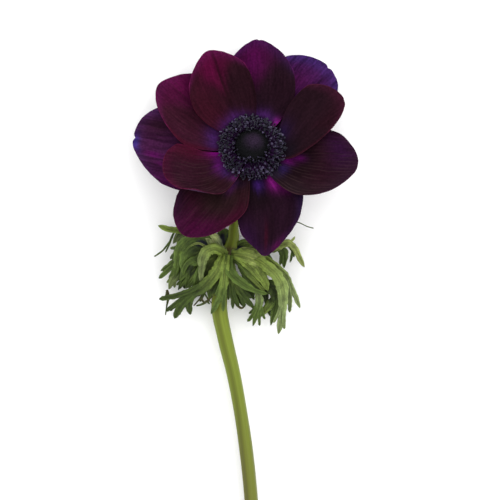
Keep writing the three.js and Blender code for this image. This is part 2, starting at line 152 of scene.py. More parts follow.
# ------------------------------------------------------------------------------ the bloom

BLOOM_TILT = math.radians(16)
BLOOM_BASE_Z = 16.5
RECEPTACLE_R = 4.2
AXIS = Vector((0, math.sin(BLOOM_TILT), math.cos(BLOOM_TILT)))
FACE_UP = Vector((0, math.cos(BLOOM_TILT), -math.sin(BLOOM_TILT)))


def in_bloom(right, up, height):
    """A point of the bloom: right and up in its face, and height along its axis."""
    return Vector((right, 0, BLOOM_BASE_Z)) + FACE_UP * up + AXIS * height


# Each whorl's height where it leaves the receptacle, how far it rises to the rim, and how bowl-like.
WHORLS = {"outer": (0.0, 2.0, 1.2), "middle": (1.2, 5.5, 1.3), "inner": (2.4, 9.6, 1.4)}
WIDTH_AT = (0.25, 0.5, 0.75, 0.92)  # the shares of a petal's length where its widths are given
CLAW_HALF_WIDTH = 2.2
CLAW_GAP = 0.3  # from the receptacle to a petal's foot
SHOULDER = 0.3  # the share of the outline from the foot that is the petal's side
PETAL_THICKNESS = 0.35
MIDRIB_DEPTH = 0.35
MIDRIB_WIDTH = 0.25  # as a share of the half width
EDGE_SWELL = 0.28
EDGE_RIPPLE = 0.14
NICK_WIDTH = 0.008  # as a share of the outline

# How a petal's surface swells: how often across it, how often along it, and how high.
FOLDS = (9, 1.2, 0.16)
FINE_FOLDS = (26, 2, 0.07)
WAVES = (3.2, 1.5, 0.55)

# For each petal: its direction and its foot's, in degrees; its length; how far its tip bends to the
# left; its half widths to the right and left; how far its tip curls back; how far its right and
# left edges lift; and the nick in its rim: where on the outline, and how deep.
PETALS = {
    "inner_1": (114, 114, 39, 1.2, (6, 9.8, 9.7, 4.8), (9, 14.6, 12.9, 7), 0, (1.2, 1), (0, 0)),
    "inner_2": (26, 8, 38.2, -1, (10.8, 11.2, 9, 5.6), (-0.1, 7.4, 10, 6.3), 0, (1, 1.4), (0, 0)),
    "inner_3": (200, 215, 36, 3, (0.6, 3.2, 8.1, 4.9), (10, 15.6, 11.8, 8.4), -1.5, (0.6, 3), (0, 0)),
    "middle_1": (84, 82, 41.8, 2, (9, 14, 12.2, 6), (5.6, 11.8, 11.9, 7.2), 0, (0.8, 0.6), (0.495, 0.4)),
    "middle_2": (-12, -18, 41, -0.6, (11, 16, 13.6, 7.2), (6, 11, 11.2, 6.4), 0, (2.6, 0.4), (0, 0)),
    "middle_3": (233, 233, 44.4, 0.8, (7, 11.7, 10.3, 6.3), (7.4, 13.8, 11.6, 7), 1, (0.4, 1.6), (0, 0)),
    "middle_4": (147, 150, 42.9, 0.6, (4.6, 11, 12.2, 6.6), (9, 13.7, 10.9, 6), 0.5, (0.6, 0.6), (0, 0)),
    "outer_1": (50, 50, 46.1, 1, (8, 13, 12.1, 7.4), (8, 14, 15.8, 10.8), 8.1, (0, 0), (0.484, 0.8)),
    "outer_2": (-74, -74, 42.6, -7.2, (8, 12.2, 13.2, 9.8), (8, 13.7, 9.1, 0.8), 0.6, (0.8, 0.6), (0, 0)),
    "outer_3": (
        180, 180, 45.7, -2.6, (9, 15.4, 16.8, 12.3), (10.6, 17.2, 14, 5.8), 3, (0.4, 0.4), (0.48, 0.8)
    ),
}

# The colours of each petal: over another petal, a painted shade where no light comes through from
# behind; alone, a painted glow of the light that comes through it; and at its tip; how strongly they
# are streaked; and how clearly its raised veins show at its right and left edges. Then the soft
# washes over them, some the petal's own colour, some painted glow and some painted shade: how far
# along and how far across the petal (0 right, 1 left), how far they reach each way, their colour
# and strength.
PETAL_LOOKS = {
    "inner_1": ("#250f18", "#480a2b", "#5a1546", 0.8, (0, 0.05), [
        (0.5, 0.85, 0.5, 0.3, "#340e1c", 0.9), (0.84, 0.55, 0.12, 0.16, "#520832", 0.7),
        (0.66, 0.44, 0.36, 0.02, "#160709", 0.85), (0.62, 0.25, 0.3, 0.2, "#230f17", 0.8),
        (0.5, 0, 0.4, 0.04, "#18090f", 0.9), (0.27, 0.5, 0.09, 0.6, "#4e2468", 0.9),
    ]),
    "inner_2": ("#211018", "#29101a", "#3a1628", 0.7, (0.05, 0), [
        (0.3, 0.9, 0.16, 0.2, "#241440", 0.85), (0.3, 0.3, 0.12, 0.4, "#15121c", 0.7),
        (0.55, 0.03, 0.5, 0.04, "#34101c", 0.5),
    ]),
    "inner_3": ("#2c111e", "#390f22", "#40102a", 0.9, (0.25, 1), [
        (0.42, 0.03, 0.18, 0.1, "#860086", 0.95), (0.4, 0.28, 0.08, 0.3, "#5e1668", 0.85),
        (0.36, 0.62, 0.06, 0.2, "#432462", 0.85), (0.38, 0.92, 0.05, 0.08, "#6a2a6c", 0.85),
        (0.8, 0.06, 0.3, 0.16, "#420c22", 0.8), (0.55, 0.7, 0.16, 0.3, "#261216", 0.75),
    ]),
    "middle_1": ("#1f0f19", "#3e0a32", "#401548", 0.9, (0, 0.05), [
        (0.8, 0.56, 0.14, 0.14, "#4e0a44", 0.8), (0.66, 0.18, 0.22, 0.28, "#210f19", 0.95),
        (0.58, 0.36, 0.08, 0.22, "#210f19", 0.7), (0.94, 0.2, 0.08, 0.16, "#2e1838", 0.6),
        (0.27, 0.4, 0.08, 0.6, "#4e2468", 0.9), (0.26, 0.02, 0.08, 0.08, "#b82cb0", 0.98),
    ]),
    "middle_2": ("#190b11", "#250f19", "#30182c", 0.8, (0.8, 0.05), [
        (0.33, 0.5, 0.07, 0.1, "#6a0e68", 0.9), (0.44, 0.57, 0.07, 0.06, "#520c52", 0.8),
        (0.34, 0.26, 0.06, 0.14, "#2e1c50", 0.9), (0.32, 0.1, 0.06, 0.14, "#262030", 0.8),
        (0.62, 0.05, 0.24, 0.16, "#281a20", 0.8), (0.86, 0.7, 0.12, 0.24, "#2f1034", 0.8),
        (0.92, 0.2, 0.1, 0.3, "#2a1824", 0.6),
    ]),
    "middle_3": ("#241116", "#2b0e1b", "#38122e", 1, (0.3, 0.25), [
        (0.9, 0.62, 0.15, 0.3, "#3e0a2e", 0.9), (0.9, 0.14, 0.1, 0.2, "#26142a", 0.5),
        (0.6, 0.6, 0.14, 0.3, "#271a1a", 0.7), (0.4, 0.66, 0.07, 0.07, "#562458", 0.8),
        (0.36, 0.4, 0.05, 0.4, "#2a1c3c", 0.8), (0.74, 0.92, 0.2, 0.1, "#3c0c24", 0.7),
    ]),
    "middle_4": ("#321220", "#400f2c", "#501540", 0.9, (0.1, 0.25), [
        (0.86, 0.2, 0.14, 0.2, "#560a3c", 0.8), (0.6, 0.9, 0.4, 0.2, "#391426", 0.7),
        (0.5, 0.1, 0.3, 0.14, "#240c15", 0.8), (0.33, 0.7, 0.09, 0.5, "#42205a", 0.9),
        (0.62, 0.97, 0.5, 0.03, "#4c1026", 0.6),
    ]),
    "outer_1": ("#2a1126", "#371440", "#372054", 1.9, (0, 0), [
        (0.84, 0.43, 0.16, 0.016, "#1f0d22", 0.7), (0.7, 0.7, 0.12, 0.3, "#430f3c", 0.8),
        (0.86, 0.08, 0.26, 0.16, "#292156", 0.9), (0.96, 0.7, 0.06, 0.3, "#38205a", 0.7),
    ]),
    "outer_2": ("#190d14", "#200e1b", "#2e1431", 0.8, (0.05, 0.05), [
        (0.38, 0.79, 0.09, 0.1, "#a02296", 0.95), (0.48, 0.86, 0.08, 0.07, "#6a1260", 0.85),
        (0.33, 0.48, 0.07, 0.12, "#40206a", 0.9), (0.8, 0.97, 0.24, 0.08, "#281838", 0.75),
        (0.96, 0.66, 0.045, 0.07, "#4c0c3e", 0.6), (0.84, 0.5, 0.12, 0.03, "#3a0c1c", 0.6),
        (0.9, 0.16, 0.14, 0.2, "#27102c", 0.8), (0.7, 0.58, 0.3, 0.03, "#160910", 0.6),
    ]),
    "outer_3": ("#2a1320", "#3b1738", "#43224b", 1.5, (0.1, 0.15), [
        (0.98, 0.5, 0.035, 0.09, "#352a72", 0.9), (0.86, 0.1, 0.2, 0.1, "#462250", 0.8),
        (0.8, 0.3, 0.14, 0.1, "#2a1220", 0.85), (0.84, 0.6, 0.08, 0.03, "#5a1056", 0.85),
        (0.76, 0.7, 0.08, 0.025, "#5a1054", 0.8), (0.84, 0.92, 0.24, 0.1, "#4a1246", 0.85),
    ]),
}


def petal_seed(name):
    """A number of the petal's own, for its noise."""
    return PETALS[name][0] * 0.37


def swelling(kind, t, s, seed):
    """How high a petal's surface swells at this place on it."""
    across, along, height = kind
    return height * wander(t * across, s * along, seed)


def petal_rows(name, across, along):
    """The petal's middle surface as rows of points from its foot to its rim, in the bloom's own
    axes (right, up, height)."""
    turn, foot, length, tip, right, left, curl, lift, (nick, nick_depth) = PETALS[name]
    start, rise, bowl = WHORLS[name.split("_")[0]]
    seed = petal_seed(name)
    radius = RECEPTACLE_R + CLAW_GAP
    aim = math.radians(foot - turn)
    spread = CLAW_HALF_WIDTH / radius

    def foot_at(t):
        angle = aim + spread * (2 * t - 1)
        return Vector((radius * math.cos(angle), radius * math.sin(angle), 0))

    outline = [foot_at(0)]
    outline += [Vector((share * length, -w, 0)) for share, w in zip(WIDTH_AT, right)]
    outline += [Vector((length, tip, 0))]
    outline += [Vector((share * length, w, 0)) for share, w in reversed(list(zip(WIDTH_AT, left)))]
    outline += [foot_at(1)]

    def edge_at(q):
        """The outline, with the nick and the small swells of a grown edge."""
        swell = EDGE_SWELL * wander(q * 14, seed, 0) + EDGE_RIPPLE * wander(q * 40, seed, 3)
        swell -= nick_depth * math.exp(-(((q - nick) / NICK_WIDTH) ** 2))
        return spline(outline, q) * (1 + swell * math.sin(math.pi * q) / length)

    rim = [edge_at(SHOULDER + (1 - 2 * SHOULDER) * i / across) for i in range(across + 1)]
    feet = [foot_at(i / across) for i in range(across + 1)]
    turned = math.radians(turn)
    rows = []
    for j in range(along + 1):
        s = j / along
        off_right = edge_at(SHOULDER * s) - feet[0].lerp(rim[0], s)
        off_left = edge_at(1 - SHOULDER * s) - feet[-1].lerp(rim[-1], s)
        row = []
        for i in range(across + 1):
            t = i / across
            p = feet[i].lerp(rim[i], s) + off_right * (1 - t) + off_left * t
            out = max(p.length - radius, 0) / (length - radius)
            side = 2 * t - 1
            edge = lift[1 if t > 0.5 else 0] * side * side * s
            groove = MIDRIB_DEPTH * math.exp(-((side / MIDRIB_WIDTH) ** 2)) * math.sin(math.pi * s)
            folds = swelling(FOLDS, t, s, seed) + swelling(FINE_FOLDS, t, s, seed)
            wave = swelling(WAVES, t, s, seed + 7) * s**3
            height = start + rise * out**bowl - curl * out**3 + edge - groove
            height += folds * math.sin(math.pi * min(s * 1.1, 1)) + wave + PETAL_THICKNESS / 2
            x = p.x * math.cos(turned) - p.y * math.sin(turned)
            y = p.x * math.sin(turned) + p.y * math.cos(turned)
            row.append(Vector((x, y, height)))
        rows.append(row)
    return rows


def build_petal(name, across=56, along=72):
    """A petal's upper face, as a bent grid. Its vertices carry their place on the petal: how far
    across it, how far along it, and a number of its own."""
    rows = petal_rows(name, across, along)
    bm = bmesh.new()
    grain = bm.verts.layers.float_vector.new("grain")
    bm.verts.layers.float_vector.new("masks")
    bm.verts.layers.float_color.new("tint")
    bmesh.ops.create_grid(bm, x_segments=across, y_segments=along, size=1)
    for vert in bm.verts:
        t = (1 - vert.co.x) / 2
        s = (1 + vert.co.y) / 2
        vert[grain] = Vector((t, s, petal_seed(name)))
        vert.co = place(in_bloom(*rows[round(s * along)][round(t * across)]))
    return bm


SKIN_GAP = 0.2  # rays start this far below a petal, past a neighbour that only touches it
LIGHT_LEAN = 0.3  # the light behind a petal comes straight up, and leaning this much all round
LIGHT_REACH = 30  # how far behind a petal others block the light
LIGHT_SPREAD = 0.6
LIT_FROM = (0.5, 0.68)  # how far along a petal the light first shows through, and shows in full
TIP_FROM = 0.86
TIP_STRENGTH = 0.75


def mix(one, other, share):
    """A value that is this share of the way from one to the other."""
    return one + (other - one) * share


def light_through(bm, others):
    """The share of the light behind each vertex of a petal that no other petal blocks."""
    leans = [Vector((0, 0, -1))]
    for i in range(6):
        a = i * math.pi / 3
        leans.append(Vector((LIGHT_LEAN * math.cos(a), LIGHT_LEAN * math.sin(a), -1)).normalized())
    clear = {}
    for vert in bm.verts:
        open_ways = 0
        for lean in leans:
            start = vert.co + lean * (SKIN_GAP * MM)
            open_ways += not any(tree.ray_cast(start, lean, LIGHT_REACH * MM)[0] for tree in others)
        clear[vert] = open_ways / len(leans)
    # The light spreads a little inside the petal.
    for _ in range(6):
        spread = {}
        for vert in bm.verts:
            around = [clear[edge.other_vert(vert)] for edge in vert.link_edges]
            spread[vert] = mix(clear[vert], sum(around) / len(around), LIGHT_SPREAD)
        clear = spread
    return clear


def paint_petals(petals):
    """Paints each petal. The light comes through where nothing lies behind, and a petal over
    another is nearly black; then come the tip and the washes. "masks" holds how clearly the raised
    veins show, where the rim is, and how far from the middle of the bloom each vertex lies."""
    trees = {name: BVHTree.FromBMesh(bm) for name, bm in petals.items()}
    middle = place(in_bloom(0, 0, 0))
    for name, bm in petals.items():
        deep, thin, tip, streaked, veined, washes = PETAL_LOOKS[name]
        deep, thin, tip = (Vector(tone(code)) for code in (deep, thin, tip))
        washes = [(*reach, Vector(tone(code)), strength) for *reach, code, strength in washes]
        grain = bm.verts.layers.float_vector["grain"]
        masks = bm.verts.layers.float_vector["masks"]
        tint = bm.verts.layers.float_color["tint"]
        clear = light_through(bm, [tree for other, tree in trees.items() if other != name])
        for vert in bm.verts:
            t, s, seed = vert[grain]
            # Painted light: the glow where light would come through the petal, and painted shade where
            # another petal lies behind it.
            lit = clear[vert] * smooth(*LIT_FROM, s + 0.06 * wander(t * 5, s * 3, seed))
            paint = mix(deep, thin, lit)
            paint = mix(paint, tip, smooth(TIP_FROM, 1.0, s) * TIP_STRENGTH)
            # The washes: some the petal's own colour, some painted glow and some painted shade.
            for along, across, reach_along, reach_across, colour, strength in washes:
                # The washes are ragged along the veins.
                ragged = 0.025 * wander(t * 22, s * 3, seed + along)
                far = ((s - along + ragged) / reach_along) ** 2 + ((t - across) / reach_across) ** 2
                paint = mix(paint, colour, strength * math.exp(-far))
            veins = veined[0] + (veined[1] - veined[0]) * t
            rim = 1.0 if vert.is_boundary else 0.0
            vert[tint] = (*paint[:3], streaked)
            vert[masks] = Vector((veins, rim, (vert.co - middle).length / MM))


def velvet_petal():
    """Anemone petal: living tissue under a felt of tiny cone-shaped cells, which swallows the
    light, with fine veins that fan out from the foot."""
    material, tree = new_material("petal_velvet")
    grain = node(tree, "Attribute", {}, attribute_name="grain")["Vector"]
    masks = node(tree, "Attribute", {}, attribute_name="masks")["Vector"]
    paint = node(tree, "Attribute", {}, attribute_name="tint")
    tint, streaked = paint["Color"], paint["Alpha"]
    mask = node(tree, "SeparateXYZ", {0: masks})

    # Veins wander a little from side to side.
    drift = node(tree, "Mapping", {"Vector": grain, "Scale": (4, 5, 1)})[0]
    drift = node(tree, "TexNoise", {"Vector": drift, "Scale": 1, "Detail": 1})["Color"]
    bent = node(tree, "VectorMath", {0: drift, 1: (0.035, 0, 0), 2: grain}, operation="MULTIPLY_ADD")[0]
    # Fine veins stand about 0.8 mm apart at mid-petal and fade in and out every 7 mm, in
    # bundles about 3 mm apart.
    fine = node(tree, "Mapping", {"Vector": bent, "Scale": (36, 5.5, 1)})[0]
    fine = node(tree, "TexNoise", {"Vector": fine, "Scale": 1, "Detail": 3})[0]
    bundles = node(tree, "Mapping", {"Vector": bent, "Scale": (10, 2.2, 1)})[0]
    bundles = node(tree, "TexNoise", {"Vector": bundles, "Scale": 1, "Detail": 2})[0]
    dark = node(tree, "MapRange", {0: fine, 1: 0.34, 2: 0.66, 3: 0.76, 4: 1.16})[0]
    swell = node(tree, "MapRange", {0: bundles, 1: 0.3, 2: 0.7, 3: 0.84, 4: 1.1})[0]
    streaks = node(tree, "Math", {0: dark, 1: swell}, operation="MULTIPLY")[0]
    # Some petals are streaked more strongly than others.
    streaks = node(tree, "Math", {0: streaks, 1: 0.95}, operation="SUBTRACT")[0]
    streaks = node(tree, "Math", {0: streaks, 1: streaked, 2: 0.95}, operation="MULTIPLY_ADD")[0]
    # The nap of the velvet lies in tufts 0.8 mm across.
    spot = node(tree, "TexCoord", {})["Object"]
    nap = node(tree, "TexNoise", {"Vector": spot, "Scale": 1 / (0.8 * MM), "Detail": 2})[0]
    nap = node(tree, "MapRange", {0: nap, 1: 0.34, 2: 0.66, 3: 0.71, 4: 0.99})[0]
    streaks = node(tree, "Math", {0: streaks, 1: nap}, operation="MULTIPLY")[0]
    body = node(tree, "VectorMath", {0: tint, "Scale": streaks}, operation="SCALE")[0]

    # Raised grey-brown veins, where they show: thin lines about 1.1 mm apart, partly the veins' own colour
    # and partly a painted highlight where light catches their ridges.
    lines = node(tree, "SeparateXYZ", {0: bent})[0]
    lines = node(tree, "Math", {0: lines, 1: 22}, operation="MULTIPLY")[0]
    lines = node(tree, "Math", {0: lines, 1: 0.5}, operation="PINGPONG")[0]
    lines = node(
        tree, "MapRange", {0: lines, 1: 0.5, 2: 0.3, 3: 1.0, 4: 0.0}, interpolation_type="SMOOTHSTEP"
    )[0]
    broken = node(tree, "Mapping", {"Vector": grain, "Scale": (14, 5, 1)})[0]
    broken = node(tree, "TexNoise", {"Vector": broken, "Scale": 1, "Detail": 1})[0]
    broken = node(tree, "MapRange", {0: broken, 1: 0.4, 2: 0.6, 3: 0, 4: 0.6})[0]
    lines = node(tree, "Math", {0: lines, 1: broken}, operation="MULTIPLY")[0]
    lines = node(tree, "Math", {0: lines, 1: mask[0]}, operation="MULTIPLY")[0]
    body = node(tree, "Mix", {0: lines, 6: body, 7: tone("#3f2f30")}, data_type="RGBA")[2]
    # Between the stamens the petals are painted nearly black, a painted shade under the stamens; the edge
    # is ragged along the veins.
    ragged = node(tree, "Math", {0: fine, 1: -4.0, 2: mask[2]}, operation="MULTIPLY_ADD")[0]
    foot = node(
        tree, "MapRange", {0: ragged, 1: 12.5, 2: 9.5, 3: 0.0, 4: 0.9}, interpolation_type="SMOOTHSTEP"
    )[0]
    body = node(tree, "Mix", {0: foot, 6: body, 7: tone("#0e0912")}, data_type="RGBA")[2]
    # The very edge catches the light.
    rim = node(tree, "Math", {0: mask[1], 1: 1.6}, operation="POWER")[0]
    lit = node(tree, "VectorMath", {0: body, 1: (1.8, 1.45, 1.55)}, operation="MULTIPLY")[0]
    body = node(tree, "Mix", {0: rim, 6: body, 7: lit}, data_type="RGBA")[2]

    bump = node(tree, "Bump", {"Strength": 0.3, "Distance": 0.12 * MM, "Height": streaks})[0]
    shader = node(
        tree, "BsdfPrincipled",
        {"Base Color": body, "Roughness": 0.7, "Normal": bump, "Specular IOR Level": 0.01,
         "Sheen Weight": 0.008, "Sheen Roughness": 0.4, "Sheen Tint": tone("#a05090")},
    )
    node(tree, "OutputMaterial", {"Surface": shader[0]})
    return material


def petal_back():
    """The underside of a petal: smoother cells without the velvet, paler and silky."""
    material, tree = new_material("petal_back_silky")
    grain = node(tree, "Attribute", {}, attribute_name="grain")["Vector"]
    ribs = node(tree, "Mapping", {"Vector": grain, "Scale": (30, 1.3, 1)})[0]
    ribs = node(tree, "TexNoise", {"Vector": ribs, "Scale": 1, "Detail": 3})[0]
    colour = node(tree, "Mix", {0: ribs, 6: tone("#241226"), 7: tone("#543052")}, data_type="RGBA")[2]
    bump = node(tree, "Bump", {"Strength": 0.4, "Distance": 0.15 * MM, "Height": ribs})[0]
    shader = node(
        tree, "BsdfPrincipled",
        {"Base Color": colour, "Roughness": 0.5, "Normal": bump, "Specular IOR Level": 0.3},
    )
    node(tree, "OutputMaterial", {"Surface": shader[0]})
    return material


def build_petals():
    """Ten petals, each velvety above and silky below."""
    petals = {name: build_petal(name) for name in PETALS}
    paint_petals(petals)
    skins = [velvet_petal(), petal_back()]
    for name, bm in petals.items():
        finish_piece("velvet_petal_" + name, bm, skins, ["petal_" + name], PETAL_THICKNESS)


# ------------------------------------------------------------------------------ the centre

PISTIL_FOOT = 3.9
PISTIL_FOOT_R = 4.3
PISTIL_FLARE = 7.7
PISTIL_R = 6.3
PISTIL_TOP = 12.8
STYLE_COUNT = 620
STYLE_LENGTH = 0.42
RIM_STYLES_LONGER = 0.75
STYLE_R = (0.13, 0.03)  # at its foot and its tip
GOLDEN_TURN = 2.39996  # radians from one style to the next, as a growing tip sets them
HEART_LEAN = 0.33  # how far the pistil and stamens lean to the stem, for each mm up
LEAN_FROM = 3.6


def seat(bm):
    """Sets a shape made in the bloom's own axes into the frame, leaning to the stem."""
    for vert in bm.verts:
        vert.co.y -= HEART_LEAN * max(vert.co.z - LEAN_FROM, 0)
        vert.co = place(in_bloom(*vert.co))


def build_pistil():
    """A dome of packed carpels, felted with fine styles that stand out at its rim."""
    bm = bmesh.new()
    # The dome's outline, turned once round its axis.
    outline = [(0.0, PISTIL_FOOT), (PISTIL_FOOT_R, PISTIL_FOOT), (PISTIL_FOOT_R, PISTIL_FLARE - 1.0)]
    for i in range(15):
        lift = i / 14 * math.pi / 2
        height = PISTIL_FLARE + (PISTIL_TOP - PISTIL_FLARE) * math.sin(lift)
        outline.append((PISTIL_R * math.cos(lift), height))
    verts = [bm.verts.new((r, 0, h)) for r, h in outline]
    edges = [bm.edges.new(pair) for pair in zip(verts, verts[1:])]
    bmesh.ops.spin(
        bm, geom=verts + edges, cent=(0, 0, 0), axis=(0, 0, 1), dvec=(0, 0, 0),
        angle=2 * math.pi, steps=64, use_merge=True,
    )
    bmesh.ops.remove_doubles(bm, verts=bm.verts, dist=0.0005)
    for vert in bm.verts:
        r = math.hypot(vert.co.x, vert.co.y)
        if vert.co.z > PISTIL_FLARE - 0.2 and r > 1:
            lump = 0.12 * wander(vert.co.x * 1.7, vert.co.y * 1.7, vert.co.z * 1.7)
            vert.co *= 1 + lump / r
    bmesh.ops.recalc_face_normals(bm, faces=bm.faces)
    # Each spike stands for a tuft of styles.
    for i in range(STYLE_COUNT):
        share = (i + 0.5) / STYLE_COUNT
        a = i * GOLDEN_TURN
        lift = math.asin(1 - share)
        radius = PISTIL_R * math.cos(lift)
        height = PISTIL_FLARE + (PISTIL_TOP - PISTIL_FLARE) * math.sin(lift)
        out = Vector((math.cos(a) * math.cos(lift), math.sin(a) * math.cos(lift), math.sin(lift)))
        length = STYLE_LENGTH + RIM_STYLES_LONGER * smooth(0.7, 1.0, share) + 0.15 * random.random()
        lean = [random.uniform(*reach) for reach in ((-0.25, 0.25), (-0.25, 0.25), (-0.1, 0.3))]
        along = (out + Vector(lean)).normalized()
        root = Vector((radius * math.cos(a), radius * math.sin(a), height))
        middle = root + along * (length / 2 - 0.08)
        turn = Matrix.Translation(middle) @ along.to_track_quat("Z", "Y").to_matrix().to_4x4()
        bmesh.ops.create_cone(
            bm, cap_ends=True, segments=4, radius1=STYLE_R[0], radius2=STYLE_R[1], depth=length, matrix=turn
        )
    seat(bm)
    finish_piece("felted_pistil", bm, [pistil_felt()], ["pistil"])


def pistil_felt():
    """Carpels under dark felt: nearly black, with a painted purple highlight on the crown of the dome."""
    material, tree = new_material("pistil_dark_felt")
    spot = node(tree, "TexCoord", {})["Object"]
    # A painted purple highlight on the crown of the dome, broken up by the felt's tufts.
    crown = place(in_bloom(0.6, -0.6, PISTIL_TOP - 0.4))
    gone = node(tree, "VectorMath", {0: spot, 1: crown}, operation="DISTANCE")[1]
    near = node(
        tree, "MapRange",
        {0: gone, 1: 5.5 * MM, 2: 0.6 * MM, 3: 0.0, 4: 1.0},
        interpolation_type="SMOOTHSTEP",
    )[0]
    # The felt lies in tufts 0.5 mm across.
    tufts = node(tree, "TexNoise", {"Vector": spot, "Scale": 1 / (0.5 * MM), "Detail": 2})[0]
    painted_highlight = node(tree, "Math", {0: near, 1: tufts}, operation="MULTIPLY")[0]
    colour = node(tree, "Mix", {0: painted_highlight, 6: tone("#09090c"), 7: tone("#36243d")}, data_type="RGBA")[2]
    shader = node(
        tree, "BsdfPrincipled",
        {"Base Color": colour, "Roughness": 0.8, "Specular IOR Level": 0.08, "Sheen Weight": 0.01},
    )
    node(tree, "OutputMaterial", {"Surface": shader[0]})
    return material


# How many stamens, the height of their ring, the ranges of the anthers' distance and height, and
# how much further they reach at the bloom's top, and at its sides, than at its middle.
STAMEN_RINGS = {
    "stamens_outer": (176, 4.1, (10.8, 13.0), (5.9, 8.0), -0.05, 0),
    "stamens_middle": (160, 5.05, (8.7, 11.3), (7.2, 9.2), -0.02, 0.03),
    "stamens_inner": (124, 6.0, (5.3, 9.2), (8.4, 11.2), 0.14, 0.2),
}
RING_R = (4.6, 5.7)
GOLDEN_SHARE = 0.618  # spreads the anthers evenly over the ranges, with no pattern
BAND_HEIGHT = 0.6
FILAMENT_R = (0.12, 0.08)  # at its foot and its tip
SAC_SIZE = (0.19, 0.25, 0.6)  # half of a pollen sac's size each way
# The rings are a little dented at their upper right, at this angle, this wide and this deep.
DENT_AT, DENT_WIDTH, DENT_DEPTH = 0.8, 0.35, 0.06


def stamen_shape():
    """One stamen as a mesh to repeat: a filament one unit high along Z, with a five-sided section,
    and the anther, a pair of pollen sacs side by side, round the origin. "anther" tells them
    apart."""
    bm = bmesh.new()
    kind = bm.verts.layers.float.new("anther")
    bmesh.ops.create_cone(
        bm, cap_ends=True, segments=5, radius1=FILAMENT_R[0], radius2=FILAMENT_R[1], depth=1,
        matrix=Matrix.Translation((0, 0, 0.5)),
    )
    uprights = [e for e in bm.edges if abs(e.verts[0].co.z - e.verts[1].co.z) > 0.5]
    bmesh.ops.subdivide_edges(bm, edges=uprights, cuts=3)
    for side in (-1, 1):
        shape = Matrix.Translation((side * SAC_SIZE[0], 0, 0.1)) @ Matrix.Diagonal((*SAC_SIZE, 1))
        sac = bmesh.ops.create_uvsphere(bm, u_segments=7, v_segments=5, radius=1, matrix=shape)
        for vert in sac["verts"]:
            vert[kind] = 1
    mesh = bpy.data.meshes.new("stamen")
    bm.to_mesh(mesh)
    bm.free()
    return mesh


def build_stamens(name, stamen):
    """A ring of stamens: thin bent filaments, each with its anther across its end."""
    count, foot, reach, heights, longer, wider = STAMEN_RINGS[name]
    bm = bmesh.new()
    bm.verts.layers.float.new("anther")
    shade = bm.verts.layers.float.new("shade")
    bmesh.ops.create_cone(
        bm, cap_ends=False, segments=40, radius1=RING_R[0], radius2=RING_R[0], depth=BAND_HEIGHT,
        matrix=Matrix.Translation((0, 0, foot)),
    )
    bmesh.ops.solidify(bm, geom=list(bm.faces), thickness=RING_R[0] - RING_R[1])
    bmesh.ops.recalc_face_normals(bm, faces=bm.faces)
    for i in range(count):
        a = (i + random.uniform(-0.42, 0.42)) / count * 2 * math.pi
        share = (i * GOLDEN_SHARE) % 1
        out = reach[0] + (reach[1] - reach[0]) * share + random.uniform(-0.35, 0.35)
        high = heights[0] + (heights[1] - heights[0]) * (1 - share) + random.uniform(-0.5, 0.5)
        out *= 1 + longer * math.sin(a) + wider * math.cos(a) ** 2
        out *= 1 - DENT_DEPTH * math.exp(-(((a - DENT_AT) / DENT_WIDTH) ** 2))
        before = len(bm.verts)
        bm.from_mesh(stamen)
        made = list(bm.verts)[before:]
        bend_stamen(made, bm.verts.layers.float["anther"], a, foot, out, high)
        # Some anthers carry a painted pale highlight, stronger on some than on others.
        highlight_strength = random.random() ** 3
        for vert in made:
            vert[shade] = highlight_strength
    seat(bm)
    finish_piece("ring_of_" + name, bm, [stamen_skin()], [name])


def bend_stamen(verts, kind, a, foot, out, high):
    """Bends one stamen from the ring out to its place, in the bloom's own axes, and tips its
    anther a little its own way."""
    radial = Vector((math.cos(a), math.sin(a), 0))
    start = radial * (RING_R[1] - 0.3) + Vector((0, 0, foot))
    end = radial * out + Vector((0, 0, high))
    sway = radial.cross(Vector((0, 0, 1))) * random.uniform(-0.6, 0.6)
    end += sway
    middle = (start + end) / 2 + Vector((0, 0, -0.5)) + sway
    nod = [random.uniform(*reach) for reach in ((-0.8, 0.8), (-0.8, 0.8), (-0.4, 0.5))]
    tip = ((end - middle).normalized() + Vector(nod)).normalized()
    size = random.uniform(0.8, 1.3)
    anther = (
        Matrix.Translation(end)
        @ tip.to_track_quat("Z", "Y").to_matrix().to_4x4()
        @ Matrix.Rotation(a * 3, 4, "Z")
        @ Matrix.Scale(size, 4)
    )
    for vert in verts:
        if vert[kind] > 0.5:
            vert.co = anther @ vert.co
            continue
        s = vert.co.z
        centre = start.lerp(middle, s).lerp(middle.lerp(end, s), s)
        along = (middle.lerp(end, s) - start.lerp(middle, s)).normalized()
        side = along.cross(Vector((0, 0, 1))).normalized()
        vert.co = centre + side * vert.co.x + side.cross(along) * vert.co.y


def stamen_skin():
    """Blue-black anthers with a waxy glint and painted pale highlights, on dark violet filaments."""
    material, tree = new_material("anther_blue_black")
    kind = node(tree, "Attribute", {}, attribute_name="anther")["Fac"]
    shade = node(tree, "Attribute", {}, attribute_name="shade")["Fac"]
    spot = node(tree, "TexCoord", {})["Object"]
    # The painted highlights lie in patches 0.625 mm across, about as long as an anther is wide.
    patch = node(tree, "TexNoise", {"Vector": spot, "Scale": 1 / (0.625 * MM), "Detail": 1})[0]
    patch = node(tree, "MapRange", {0: patch, 1: 0.42, 2: 0.62, 3: 0.35, 4: 1})[0]
    # The "shade" attribute holds how strongly each anther carries the painted highlight.
    patch = node(tree, "Math", {0: patch, 1: shade}, operation="MULTIPLY")[0]
    anther = node(tree, "Mix", {0: patch, 6: tone("#0f0f1b"), 7: tone("#5e5374")}, data_type="RGBA")[2]
    colour = node(tree, "Mix", {0: kind, 6: tone("#351a42"), 7: anther}, data_type="RGBA")[2]
    shader = node(
        tree, "BsdfPrincipled", {"Base Color": colour, "Roughness": 0.45, "Specular IOR Level": 0.35}
    )
    node(tree, "OutputMaterial", {"Surface": shader[0]})
    return material


# ------------------------------------------------------------------------------ the stem

